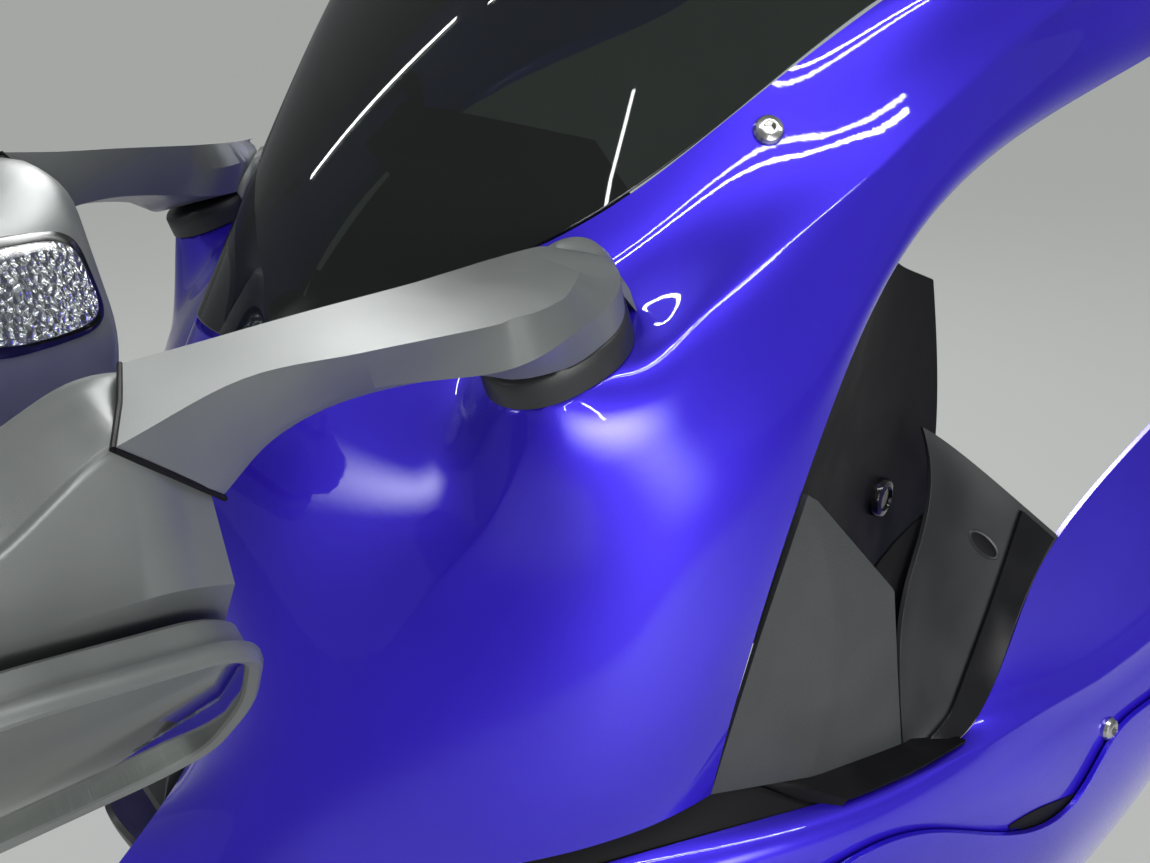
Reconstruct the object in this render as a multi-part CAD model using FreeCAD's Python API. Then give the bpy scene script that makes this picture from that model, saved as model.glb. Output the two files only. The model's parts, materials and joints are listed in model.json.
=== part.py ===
import FreeCAD, Part
import math
import os

# Front fairing assembly of a sport motorcycle, with both mirrors folded forward.
# Millimetres. +X forward, +Y to the machine's left, +Z up.
# Origin: centre of the stay's rear face, where it bolts to the steering head.

V = FreeCAD.Vector
LEFT, RIGHT = 1, -1
SIDES = (("left", LEFT), ("right", RIGHT))

# Panel and fit sizes
panel_t = 3.0
screen_t = 3.0
liner_t = 2.5
seam = 0.5
seat_gap = 0.3

# Stay that bolts to the steering head
plate_t = 8.0
stub_len = 14.0
plate_w = 92.0
plate_h = 78.0
bolt_w = 60.0
bolt_h = 50.0
bolt_r = 4.5
tube_r = 9.0
arm_r = 5.0
pad_r = 6.5
pad_t = 10.0

# Mirror hinge: a point on its axis, the lean of the axis, and the fits
hinge = V(181.0, 158.4, 138.0)
hinge_lean = V(0.33, 0.08, 0.94)
hinge_r = 27.5
hinge_gap = 0.3
arm_hub_h = 21.0
hub_wall_h = 13.0
hub_chamfer = 8.0
base_cup_h = 60.0
stem_r = 9.0
stem_h = 76.0
tower_t = 16.0
pivot_r = 7.0
pivot_h = 16.0
pivot_clear = 0.25
fold_in_right = 45.0

# Mirror head
glass_lean = V(0.0, 0.58, 0.815)
glass_foot = V(337.4, 174.8, 30.1)
glass_t = 3.0
bezel_t = 14.0
bezel_rim = 5.5
head_gap = 5.0
head_room = 12.0
head_clear = 40.0
boss_r = 14.0
boss_deep = 12.0
lamp_t = 4.0

# Instrument unit
dash_w = 170.0
dash_h = 92.0
dash_t = 34.0
dash_centre = V(70.0, 0.0, 150.0)
dash_tilt = 38.0
display_w = 138.0
display_h = 66.0
display_t = 2.5

# Intake
duct_t = 3.0
mesh_wire = 1.6
mesh_pitch = 12.0

os.makedirs("parts", exist_ok=True)


# Upper cowl, left half. Each row is a rib from the screen edge down to the hem;
# rows run from the nose to the rear. Columns:
# screen edge, band, crease, shoulder, flank, low flank, hem
COWL = [
    [(316, 16, -30), (311, 23, -54), (309, 31, -72), (317, 39, -85), (338, 42, -101), (357, 44, -115),
     (367, 46, -121)],
    [(285, 22, 60), (296, 44, 30), (303, 64, -5), (309, 80, -38), (318, 91, -68), (332, 96, -94),
     (342, 98, -112)],
    [(240, 48, 118), (251, 74, 94), (257, 98, 57), (265, 125, 14), (273, 142, -27), (296, 136, -74),
     (302, 136, -100)],
    [(190, 97, 139), (203, 116, 110), (213, 173, 88), (216, 176, 47), (218, 193, 4), (256, 172, -52),
     (264, 168, -90)],
    [(130, 135, 166), (142, 147, 124), (158, 202, 144), (159, 208, 100), (158, 222, 40), (218, 205, -40),
     (228, 197, -82)],
    [(60, 150, 212), (62, 164, 198), (60, 184, 169), (74, 205, 133), (102, 224, 85), (182, 223, -28),
     (196, 213, -78)],
    [(-18, 163, 251), (-30, 179, 246), (-110, 196, 224), (-10, 194, 168), (92, 219, 100), (157, 229, -12),
     (169, 218, -79)],
    [(-55, 166, 264), (-74, 197, 259), (-365, 200, 224), (-37, 178, 180), (89, 221, 100), (140, 228, -4),
     (146, 218, -80)],
]

# Windscreen, left half mirrored. Rows run from the front tip to the top edge;
# columns from the centreline to the side edge.
SCREEN = [
    [(259, 0, 111), (258, 15, 111), (254, 30, 110), (248, 41, 108), (241, 49, 108)],
    [(236, 0, 148), (232, 24, 148), (222, 48, 146), (208, 68, 144), (194, 82, 141)],
    [(180, 0, 222), (174, 44, 222), (158, 84, 220), (142, 106, 203), (127, 119, 173)],
    [(100, 0, 303), (96, 56, 303), (84, 104, 306), (74, 130, 274), (66, 140, 212)],
    [(10, 0, 362), (8, 62, 363), (2, 112, 366), (-6, 142, 326), (-12, 152, 252)],
    [(-60, 0, 386), (-60, 60, 387), (-58, 108, 392), (-56, 140, 358), (-54, 156, 284)],
]

# Side cowl, left. Rows run front to rear. Columns:
# top edge, ledge, crease, upper flank, lower flank, bottom edge
SIDE_COWL = [
    [(300, 104, -150), (303, 114, -152), (302, 124, -160), (298, 130, -195), (290, 126, -240), (280, 112, -285)],
    [(250, 172, -112), (251, 186, -114), (248, 196, -124), (242, 198, -170), (232, 188, -235), (216, 166, -310)],
    [(192, 212, -92), (188, 224, -96), (180, 232, -106), (174, 234, -155), (162, 222, -240), (146, 192, -335)],
    [(110, 236, -99), (106, 246, -101), (100, 257, -110), (92, 260, -160), (80, 248, -250), (64, 214, -360)],
    [(15, 256, -116), (18, 259, -110), (26, 265, -110), (18, 272, -160), (0, 266, -250), (-14, 232, -375)],
    [(-30, 252, -98), (-36, 256, -104), (-46, 270, -112), (-62, 284, -160), (-80, 280, -245), (-95, 242, -370)],
    [(-62, 244, -52), (-78, 256, -88), (-104, 270, -110), (-130, 290, -160), (-155, 288, -225), (-175, 252, -340)],
    [(-90, 240, -22), (-120, 258, -72), (-165, 276, -100), (-200, 293, -140), (-235, 290, -190), (-262, 258, -280)],
    [(-190, 240, 10), (-215, 262, -50), (-240, 282, -85), (-262, 293, -125), (-282, 290, -170), (-300, 262, -240)],
]

# Black side trim between the cowl's rear edge and the recess, left.
# Rows run from the top corner to the bottom; columns front to rear.
TRIM = [
    [(100, 223, 59), (96, 222, 56), (92, 222, 53)],
    [(126, 224, 0), (80, 230, -10), (31, 225, -17)],
    [(138, 221, -45), (86, 233, -52), (29, 231, -62)],
    [(146, 218, -80), (92, 231, -93), (29, 239, -106)],
]

# Concave recess panel behind the trim, left. Rows run top to bottom; columns front to rear.
RECESS = [
    [(-39, 185, 34), (-52, 194, 25), (-72, 210, 2), (-93, 241, -28)],
    [(-42, 200, 2), (-48, 205, -9), (-64, 217, -26), (-75, 243, -42)],
    [(29, 225, -18), (2, 216, -36), (-28, 226, -52), (-53, 247, -66)],
    [(28, 231, -62), (10, 228, -76), (-10, 236, -86), (-28, 251, -92)],
    [(28, 239, -105), (19, 243, -107), (9, 248, -108), (1, 253, -108)],
]

# Inner panel between the cowl's rear edge and the fork, left. Rows run top to bottom;
# columns front to rear. The first column is laid on the cowl's inner face.
inner_u = 0.95
INNER_V = (0.53, 0.64, 0.78, 0.90)
INNER = [
    [(40, 193, 140), (4, 172, 128), (-38, 160, 117), (-75, 158, 100)],
    [(78, 206, 80), (24, 178, 66), (-40, 161, 52), (-90, 158, 36)],
    [(95, 212, 20), (34, 182, -2), (-36, 163, -18), (-98, 161, -32)],
    [(105, 212, -30), (44, 187, -52), (-18, 168, -68), (-66, 165, -78)],
]

# Lower layer over the side cowl: its top edge and bottom edge as (u, v, v) on the side cowl
LAYER = [
    (0.13, 0.64, 0.72),
    (0.23, 0.50, 0.82),
    (0.33, 0.42, 0.90),
    (0.42, 0.42, 0.93),
    (0.50, 0.53, 0.94),
    (0.58, 0.64, 0.94),
    (0.67, 0.69, 0.94),
    (0.76, 0.61, 0.93),
    (0.86, 0.56, 0.88),
    (0.95, 0.53, 0.78),
]
layer_out = 4.5
layer_cols = 4
LAYER_CLIPS = [(0.38, 0.60), (0.56, 0.80), (0.82, 0.74)]

# Nose top panel between the two cowls, left half mirrored.
# Rows run from the screen down to the nose tip; columns from the centreline out.
NOSE = [
    [(260, 0, 108), (259, 16, 107), (255, 31, 106), (246, 47, 104)],
    [(282, 0, 84), (281, 13, 82), (277, 24, 77), (270, 34, 76)],
    [(308, 0, 40), (307, 8, 38), (304, 15, 32), (300, 22, 26)],
    [(322, 0, -28), (322, 6, -28), (320, 11, -29), (316, 16, -30)],
]

# Chin panel under the mouth, left half mirrored. Rows run from the mouth back to the side cowls.
CHIN = [
    [(352, 0, -124), (349, 18, -128), (334, 46, -158), (316, 82, -162), (300, 104, -154)],
    [(350, 0, -146), (346, 24, -149), (330, 54, -169), (314, 88, -172), (301, 112, -160)],
    [(336, 0, -172), (332, 30, -174), (320, 62, -182), (309, 96, -183), (301, 124, -175)],
    [(310, 0, -198), (309, 34, -199), (306, 68, -199), (303, 100, -198), (300, 128, -195)],
]

# Mirror arm, left, in stations along X. Columns:
# far top, near top, near low, far low
ARM = [
    [(189, 135, 159), (203, 190, 159), (197, 181, 137), (192, 145, 139)],
    [(232, 142, 161), (236, 199, 161), (234, 181, 137), (232, 157, 137)],
    [(283, 153, 164), (285, 199, 164), (282, 181, 142), (282, 166, 142)],
    [(321, 162, 166), (323, 199, 166), (312, 188, 140), (317, 170, 140)],
    [(347, 172, 169), (366, 222, 167), (334, 199, 133), (334, 173, 134)],
]

# Mirror head shell, left, in stations along X. Each further column is a (y, z) corner:
# x, foot, lip, crease, ridge, back, heel
HEAD = [
    (338, (164, 42), (210, 101), (205, 130), (168, 147), (151, 134), (149, 81)),
    (362, (161, 40), (214, 113), (219, 164), (170, 164), (142, 138), (136, 78)),
    (403, (160, 42), (218, 121), (221, 146), (166, 150), (140, 134), (131, 84)),
    (452, (161, 44), (221, 125), (222, 140), (175, 146), (146, 129), (140, 89)),
    (493, (173, 62), (216, 114), (216, 126), (186, 131), (166, 118), (162, 88)),
]

# Mirror glass outline in its own plane: along the head, up the glass
GLASS = [(9, 4), (0, 33), (3, 70), (15, 82), (69, 98), (118, 101), (146, 87), (157, 57), (148, 22), (129, 3), (26, 0)]


def knots(count, degree):
    spans = count - degree
    return [i / spans for i in range(spans + 1)], [degree + 1] + [1] * (spans - 1) + [degree + 1]


def basis(count, t, degree):
    """Values of the clamped uniform B-spline functions at t."""
    values, mults = knots(count, degree)
    full = [k for k, m in zip(values, mults) for _ in range(m)]
    t = min(max(t, 0.0), 1.0 - 1e-9)
    row = [1.0 if full[i] <= t < full[i + 1] else 0.0 for i in range(len(full) - 1)]
    for d in range(1, degree + 1):
        nxt = []
        for i in range(len(row) - 1):
            a = full[i + d] - full[i]
            b = full[i + d + 1] - full[i + 1]
            left = (t - full[i]) / a * row[i] if a else 0.0
            right = (full[i + d + 1] - t) / b * row[i + 1] if b else 0.0
            nxt.append(left + right)
        row = nxt
    return row


def surface(net, degree=3):
    rows, cols = len(net), len(net[0])
    ku, mu = knots(rows, degree)
    kv, mv = knots(cols, degree)
    face = Part.BSplineSurface()
    poles = [[V(*p) for p in row] for row in net]
    face.buildFromPolesMultsKnots(poles, mu, mv, ku, kv, False, False, degree, degree)
    return face


def shifted(net, offset, degree=3):
    """The net moved along its own normals, towards the inside when offset is positive."""
    face = surface(net, degree)
    rows, cols = len(net), len(net[0])

    def site(count, index):
        values, mults = knots(count, degree)
        full = [k for k, m in zip(values, mults) for _ in range(m)]
        return sum(full[index + 1:index + 1 + degree]) / degree

    out = []
    for i in range(rows):
        line = []
        for j in range(cols):
            n = face.normal(site(rows, i), site(cols, j))
            line.append(tuple(V(*net[i][j]) + n * offset))
        out.append(line)
    return out


def skin(net, thick, degree=3):
    """A thin curved panel: outer face on the net, inner face moved by its thickness."""
    faces = [surface(net, degree), surface(shifted(net, thick, degree), degree)]
    shells = [f.toShape() for f in faces]
    rims = []
    for outer, inner in zip(shells[0].Edges, shells[1].Edges):
        rims.append(Part.makeRuledSurface(outer, inner))
    shell = Part.makeShell([shells[0], shells[1]] + rims)
    shell.sewShape(0.001)
    solid = Part.makeSolid(shell)
    if solid.Volume < 0:
        solid.reverse()
    return solid


def through(points, degree=3):
    """Poles of the clamped uniform spline that passes through the points, evenly in its parameter."""
    count = len(points)
    rows = [basis(count, i / (count - 1), degree) + list(p) for i, p in enumerate(points)]
    for i in range(count):
        lead = max(range(i, count), key=lambda k: abs(rows[k][i]))
        rows[i], rows[lead] = rows[lead], rows[i]
        rows[i] = [x / rows[i][i] for x in rows[i]]
        for k in range(count):
            if k != i:
                f = rows[k][i]
                rows[k] = [x - f * y for x, y in zip(rows[k], rows[i])]
    return [tuple(r[count:]) for r in rows]


def beside(net, along, start, stop, count, gap):
    """Poles that follow one edge of a net from start to stop, a gap outside it.

    along is "front", "rear" (first or last row) or "top", "hem" (first or last column)."""
    face = surface(net)
    points = []
    for i in range(count):
        t = start + (stop - start) * i / (count - 1)
        u, v = {"front": (0.0, t), "rear": (1.0, t), "top": (t, 0.0), "hem": (t, 1.0)}[along]
        du, dv = face.tangent(u, v)
        across, edge = (du, dv) if along in ("front", "rear") else (dv, du)
        out = across - edge * (across.dot(edge) / edge.dot(edge))
        out = out.normalize() * (-1 if along in ("front", "top") else 1)
        points.append(tuple(face.value(u, v) + out * gap))
    return through(points)


def mirrored(shape):
    return shape.mirror(V(0, 0, 0), V(0, 1, 0))


def whole(half):
    """A half net joined with its mirror across the centreline."""
    return [[(x, -y, z) for x, y, z in reversed(row[1:])] + list(row) for row in half]


def on_panel(net, u, v, inward, degree=3):
    """A point under the panel at (u, v), and the panel's normal there."""
    face = surface(net, degree)
    point, normal = face.value(u, v), face.normal(u, v)
    return point + normal * inward, normal


def laid_on(net, places, offset, degree=3):
    """A net through points above another net, given as rows of (u, v)."""
    face = surface(net, degree)
    rows = []
    for line in places:
        rows.append(through([tuple(face.value(u, v) + face.normal(u, v) * offset) for u, v in line]))
    columns = [through([row[k] for row in rows]) for k in range(len(rows[0]))]
    return [[column[i] for column in columns] for i in range(len(rows))]


def clip_post(net, u, v, start, stop, radius):
    """A short round post along the panel's normal, between two offsets from it."""
    a, b = on_panel(net, u, v, start)[0], on_panel(net, u, v, stop)[0]
    return rod(a, b, radius)


def rod(a, b, radius):
    return Part.makeCylinder(radius, (b - a).Length, a, b - a)


def polygon(points):
    return Part.Face(Part.makePolygon(points + [points[0]]))


def stations(rings):
    """A solid through closed rings with equal corner counts, joined by ruled faces."""
    faces = []
    count = len(rings[0])
    for near, far in zip(rings, rings[1:]):
        for k in range(count):
            m = (k + 1) % count
            faces.append(Part.makeRuledSurface(Part.makeLine(near[k], near[m]), Part.makeLine(far[k], far[m])))
    for cap in (rings[0], rings[-1]):
        for k in range(1, count - 1):
            faces.append(polygon([cap[0], cap[k], cap[k + 1]]))
    shell = Part.makeShell(faces)
    shell.sewShape(0.001)
    solid = Part.makeSolid(shell)
    if solid.Volume < 0:
        solid.reverse()
    return solid


def largest(shape):
    return max(shape.Solids, key=lambda solid: solid.Volume)


def save(name, shape):
    shape.exportStep("parts/" + name + ".step")
    if not shape.isValid() or len(shape.Solids) < 1:
        print("CHECK", name, shape.isValid(), len(shape.Solids))
    print(name, len(shape.Solids), round(shape.Volume / 1000.0, 1))


def inward_sign(net, centre, degree=3):
    """+1 when the surface normal points towards the given inside point."""
    face = surface(net, degree)
    point, normal = face.value(0.5, 0.5), face.normal(0.5, 0.5)
    return 1.0 if (centre - point).dot(normal) > 0 else -1.0


inside = V(60, 0, -40)
COWL_IN = inward_sign(COWL, inside)
SIDE_IN = inward_sign(SIDE_COWL, inside)
TRIM_IN = inward_sign(TRIM, inside, 1)
RECESS_IN = inward_sign(RECESS, inside)
SCREEN_IN = inward_sign(whole(SCREEN), V(0, 0, 0))
NOSE_IN = inward_sign(whole(NOSE), V(0, 0, 0))
CHIN_IN = inward_sign(whole(CHIN), V(0, 0, 0))


def with_column(net, index, poles):
    """The net with one column replaced."""
    out = [list(row) for row in net]
    for row, pole in zip(out, poles):
        row[index] = pole
    return out


# Neighbours take their edge from the panel they meet
screen_from, screen_to = 0.20, 0.97
recess_from, recess_to = 0.915, 0.56
chin_from, chin_to = 0.02, 0.46
SCREEN = with_column(SCREEN, -1, beside(COWL, "top", screen_from, screen_to, len(SCREEN), seam))
NOSE = with_column(NOSE, -1, beside(COWL, "top", screen_from - 0.01, 0.0, len(NOSE), seam))
RECESS = with_column(RECESS, -1, beside(SIDE_COWL, "top", recess_from, recess_to, len(RECESS), seam))
CHIN = with_column(CHIN, -1, beside(SIDE_COWL, "front", chin_from, chin_to, len(CHIN), seam))
for row, v in zip(INNER, INNER_V):
    row[0] = tuple(on_panel(COWL, inner_u, v, (panel_t + 2 * seam) * COWL_IN)[0])
INNER_IN = inward_sign(INNER, inside)
cowl = skin(COWL, panel_t * COWL_IN)
side_cowl = skin(SIDE_COWL, panel_t * SIDE_IN)
trim = skin(TRIM, liner_t * TRIM_IN, 1)
recess = skin(RECESS, liner_t * RECESS_IN)
screen = skin(whole(SCREEN), screen_t * SCREEN_IN)
nose = skin(whole(NOSE), panel_t * NOSE_IN)
chin = skin(whole(CHIN), panel_t * CHIN_IN)

# Inner panel and lower side layer, each with clip posts that seat on the panel that carries it
clip_r = 5.0
inner_panel = skin(INNER, liner_t * INNER_IN)
posts = [clip_post(COWL, inner_u, v, 1.0 * COWL_IN, (panel_t + 2 * seam + liner_t) * COWL_IN, clip_r)
         for v in INNER_V[1:3]]
inner_panel = largest(inner_panel.fuse(posts).cut(cowl))
places = []
for u, top, low in LAYER:
    places.append([(u, top + (low - top) * k / (layer_cols - 1)) for k in range(layer_cols)])
SIDE_LAYER = laid_on(SIDE_COWL, places, -layer_out * SIDE_IN)
layer = skin(SIDE_LAYER, panel_t * inward_sign(SIDE_LAYER, inside))
posts = [clip_post(SIDE_COWL, u, v, 1.0 * SIDE_IN, (1.0 - layer_out) * SIDE_IN, clip_r) for u, v in LAYER_CLIPS]
layer = largest(layer.fuse(posts).cut(side_cowl))

# Panel rims that would run into a neighbour are trimmed flush with it
recess = largest(recess.cut(side_cowl))
nose = largest(nose.cut([cowl, mirrored(cowl)]))
chin = largest(chin.cut([side_cowl, mirrored(side_cowl)]))

# Mirror base: a cup around the pivot that follows the cowl, a stem through it, and the pivot pin
lean = V(hinge_lean).normalize()
cup = Part.makeCylinder(hinge_r, base_cup_h, hinge - lean * (base_cup_h + hinge_gap / 2), lean)
under = skin(shifted(COWL, -seat_gap * COWL_IN), (base_cup_h + 10.0) * COWL_IN)
cup = cup.cut(under)
stem = Part.makeCylinder(stem_r, stem_h, hinge - lean * (stem_h + 1), lean)
pin = Part.makeCylinder(pivot_r, pivot_h, hinge - lean, lean)
mirror_base = cup.fuse(stem).fuse(pin).removeSplitter()
cowl = cowl.cut(Part.makeCylinder(stem_r + seam, stem_h * 2, hinge - lean * stem_h * 1.5, lean))

# Mirror arm: a round hub on the pivot and a flat arm that runs forward to the elbow
hub_foot = hinge + lean * (hinge_gap / 2)
hub = Part.makeCone(hinge_r, hinge_r - 1.5, hub_wall_h, hub_foot, lean)
cap_foot = hub_foot + lean * hub_wall_h
cap_r = hinge_r - 1.5
hub = hub.fuse(Part.makeCone(cap_r, cap_r - hub_chamfer, arm_hub_h - hub_wall_h, cap_foot, lean))
bars = []
for ring in ARM:
    bars.append([V(*corner) for corner in ring])
arm = hub.fuse(stations(bars))
pin_hole = Part.makeCylinder(pivot_r + pivot_clear, pivot_h + 1.0, hinge - lean * 2, lean)
arm = arm.cut(pin_hole).removeSplitter()

# Mirror glass plane: along the head, up the glass, and out of its face
glass_along = V(1, 0, 0)
glass_up = V(glass_lean).normalize()
glass_n = glass_up.cross(glass_along)
glass_mid = (76.0, 52.0)
rim_proud = 1.5


def on_glass(along, up, out=0.0):
    return glass_foot + glass_along * along + glass_up * up + glass_n * out


def glass_slab(grow, back, front):
    """The glass outline grown in its plane, as a slab from back to front of the glass face."""
    corners = []
    for along, up in GLASS:
        da, du = along - glass_mid[0], up - glass_mid[1]
        k = 1.0 + grow / math.hypot(da, du)
        corners.append(on_glass(glass_mid[0] + da * k, glass_mid[1] + du * k, back))
    return polygon(corners).extrude(glass_n * (front - back))


mirror_glass = glass_slab(0.0, -glass_t, 0.0)
bezel = glass_slab(bezel_rim, -bezel_t, rim_proud)
mirror_bezel = bezel.cut(glass_slab(0.0, -glass_t, rim_proud + 1.0)).removeSplitter()

# Mirror head shell with a boss that carries the glass unit
corners = []
for x, *ring in HEAD:
    corners.append([V(x, y, z) for y, z in ring])
shell = stations(corners)
boss_foot = on_glass(*glass_mid, -bezel_t)
boss = Part.makeCylinder(boss_r, head_gap + boss_deep, boss_foot, -glass_n)
head_space = glass_slab(bezel_rim + head_room, -bezel_t - head_gap, head_clear)
mirror_shell = shell.cut(head_space).cut(arm).fuse(boss).removeSplitter()

# Turn signal lens on the inboard face of the folded head
lamp = []
for x, *ring in HEAD[1:4]:
    ridge, back, heel = ring[3], ring[4], ring[5]
    outer = [V(x, y - lamp_t, z) for y, z in ((back[0], back[1] - 6), (heel[0], heel[1] + 6))]
    inner = [V(x, y + 8, z) for y, z in ((heel[0], heel[1] + 6), (back[0], back[1] - 6))]
    lamp.append(outer + inner)
turn_signal = stations(lamp).cut(shell)

# Headlights: a lens panel in the slit under the cowl's hem, with a dark housing behind it
lens_t = 2.5
lamp_depth = 55.0
lens_gap = 3.0
lens_shield = 12.0
lens_top = beside(COWL, "hem", 0.05, 0.30, 4, lens_gap)
lens_drop = [(0, 0, 0), (-2, 1, -7), (-6, -1, -15), (-14, -3, -22)]
LENS = [[tuple(V(*point) + V(*drop)) for drop in lens_drop] for point in lens_top]
LENS_IN = inward_sign(LENS, inside)
lamp_lens = skin(LENS, lens_t * LENS_IN)
lamp_back = V(-0.92, -0.38, 0.0)
lamp_rings = []
lens_room = skin(shifted(LENS, -lens_shield * LENS_IN), (lens_shield + lens_t + seat_gap) * LENS_IN)
for row in shifted(LENS, lens_t * LENS_IN):
    top, low = V(*row[0]), V(*row[-1])
    lamp_rings.append([top, low, low + lamp_back * lamp_depth, top + lamp_back * lamp_depth])
lamp_body = largest(stations(lamp_rings).cut(lens_room))

# Intake duct behind the mouth between the cowl halves
# Columns: x of the top edge, x of the bottom edge, top z, bottom z, half width at top and at bottom
DUCT = [
    (300, 334, -42, -113, 11, 34),
    (284, 308, -50, -111, 17, 38),
    (180, 180, -62, -108, 34, 42),
]


def duct_tube(grow, extra):
    rings = []
    for k, (xt, xb, zt, zb, wt, wb) in enumerate(DUCT):
        ends = extra if k == 0 else (-extra if k == len(DUCT) - 1 else 0.0)
        rings.append([V(xt + ends, -wt - grow, zt + grow), V(xt + ends, wt + grow, zt + grow),
                      V(xb + ends, wb + grow, zb - grow), V(xb + ends, -wb - grow, zb - grow)])
    return stations(rings)


duct = duct_tube(0.0, 0.0).cut(duct_tube(-duct_t, 2.0))

# Stay plate: four bolt holes and four stubs that the frame tubes butt against
plate = Part.makeBox(plate_t, plate_w, plate_h, V(0, -plate_w / 2, -plate_h / 2))
for sy in (-1, 1):
    for sz in (-1, 1):
        hole_at = V(-1, sy * bolt_w / 2, sz * bolt_h / 2)
        plate = plate.cut(Part.makeCylinder(bolt_r, plate_t + 2, hole_at, V(1, 0, 0)))

# Frame corners, left side
root_top = V(plate_t + stub_len, 36, 26)
root_low = V(plate_t + stub_len, 36, -26)
frame_top = V(90, 92, 74)
frame_front = V(190, 70, 20)
frame_low = V(110, 84, -70)
tower = hinge - lean * (stem_h + 1)
tower_end = tower - lean * (tower_t - 5.0)

stubs = []
for root in (root_top, root_low):
    for side in (LEFT, RIGHT):
        stubs.append(Part.makeCylinder(tube_r, stub_len, V(plate_t, side * root.y, root.z), V(1, 0, 0)))
stay_plate = plate.fuse(stubs).removeSplitter()

# Stay frame, one side: tubes between the corners, a seat under the mirror, and pads under the panels
PADS = [
    (COWL, COWL_IN, panel_t, 0.80, 0.16, frame_top),
    (SIDE_COWL, SIDE_IN, panel_t, 0.42, 0.30, frame_low),
]
TUBES = [
    (root_top, frame_top, tube_r),
    (root_low, frame_low, tube_r),
    (frame_top, frame_front, tube_r),
    (frame_low, frame_front, tube_r),
    (frame_top, tower_end, arm_r),
    (frame_front, lamp_body.CenterOfMass, arm_r),
]
frame = [rod(a, b, r) for a, b, r in TUBES]
frame += [Part.makeSphere(tube_r + 1.0, corner) for corner in (frame_top, frame_front, frame_low)]
frame.append(Part.makeCylinder(stem_r + 3.0, tower_t, tower - lean * tower_t, lean))
for net, sign, thick, u, v, corner in PADS:
    seat, normal = on_panel(net, u, v, thick * sign)
    inward = normal * sign
    frame.append(Part.makeCylinder(pad_r, pad_t, seat, inward))
    frame.append(rod(seat + inward * pad_t, corner, arm_r))
stay_frame = frame[0].fuse(frame[1:])
behind = Part.makeBox(60, 400, 400, V(plate_t + stub_len - 60, -200, -200))
cowl_room = skin(shifted(COWL, -pad_r * COWL_IN), (pad_r + panel_t + seat_gap) * COWL_IN)
side_room = skin(shifted(SIDE_COWL, -pad_r * SIDE_IN), (pad_r + panel_t + seat_gap) * SIDE_IN)
stay_frame = stay_frame.cut([behind, lamp_body, cowl_room, side_room])

# Cross tubes between the two frames, with posts to the instrument and the duct
instrument_post = V(100, 44, 132)
cross = [rod(V(c.x, c.y, c.z), V(c.x, -c.y, c.z), tube_r) for c in (frame_top, frame_front)]
for side in (LEFT, RIGHT):
    cross.append(rod(V(frame_top.x, side * instrument_post.y, frame_top.z),
                     V(instrument_post.x, side * instrument_post.y, instrument_post.z), arm_r))
    cross.append(rod(V(frame_front.x, side * 18, frame_front.z), V(frame_front.x, side * 18, -80), arm_r))
stay_top, stay_front = cross[0].fuse([cross[2], cross[4]]), cross[1].fuse([cross[3], cross[5]])

# Instrument unit on the stay's top cross tube
tilt = math.radians(dash_tilt)
dash_up = V(math.sin(tilt), 0, math.cos(tilt))
dash_out = V(-math.cos(tilt), 0, math.sin(tilt))


def dash_slab(w, h, t, out):
    corners = [dash_centre + V(0, sy * w / 2, 0) + dash_up * (sz * h / 2) + dash_out * out
               for sy, sz in ((-1, -1), (1, -1), (1, 1), (-1, 1))]
    return polygon(corners).extrude(dash_out * t)


instrument = dash_slab(dash_w, dash_h, dash_t, -dash_t)
# Posts end on the faces of what they carry
stay_top = stay_top.cut([instrument, stay_frame, mirrored(stay_frame)])
stay_front = stay_front.cut([duct_tube(0.0, 0.0), stay_frame, mirrored(stay_frame)])
display = dash_slab(display_w, display_h, display_t, 0.0)

# Intake mesh: bars across the duct behind the mouth
mesh_x = 280.0
mesh_mid_z = -82.0
mesh_count = 5
clip = duct_tube(-duct_t - 0.2, 2.0)
bars = []
for i in range(-mesh_count, mesh_count + 1):
    bars.append(Part.makeBox(mesh_wire, mesh_wire, 90.0, V(mesh_x, i * mesh_pitch * 0.75 - mesh_wire / 2, -127.0)))
for i in range(-3, 4):
    bars.append(Part.makeBox(mesh_wire, 100.0, mesh_wire, V(mesh_x, -50.0, mesh_mid_z + i * mesh_pitch * 0.75)))
mesh = largest(bars[0].fuse(bars[1:]).common(clip)).removeSplitter()

for name, shape in (("cowl", cowl), ("side_cowl", side_cowl), ("side_trim", trim), ("recess_panel", recess),
                    ("inner_panel", inner_panel), ("side_layer", layer)):
    save(name + "_left", shape)
    save(name + "_right", mirrored(shape))
save("windscreen", screen)
save("nose_panel", nose)
save("chin_panel", chin)
for name, shape in (("mirror_base", mirror_base), ("headlight_body", lamp_body), ("headlight_lens", lamp_lens),
                    ("stay_frame", stay_frame)):
    save(name + "_left", shape)
    save(name + "_right", mirrored(shape))

# The left mirror rests folded straight forward, the right one folded further in
for name, shape in (("mirror_arm", arm), ("mirror_shell", mirror_shell), ("mirror_bezel", mirror_bezel),
                    ("mirror_glass", mirror_glass), ("turn_signal", turn_signal)):
    save(name + "_left", shape)
    far = mirrored(shape)
    far.rotate(V(hinge.x, -hinge.y, hinge.z), V(lean.x, -lean.y, lean.z), fold_in_right)
    save(name + "_right", far)
save("stay_plate", stay_plate)
save("stay_top_tube", stay_top)
save("stay_front_tube", stay_front)
save("instrument_unit", instrument)
save("instrument_display", display)
save("intake_duct", duct)
save("intake_mesh", mesh)
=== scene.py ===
import bpy
import bmesh
import json
import math
import numpy as np
from mathutils import Matrix, Vector
from mathutils.bvhtree import BVHTree


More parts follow.
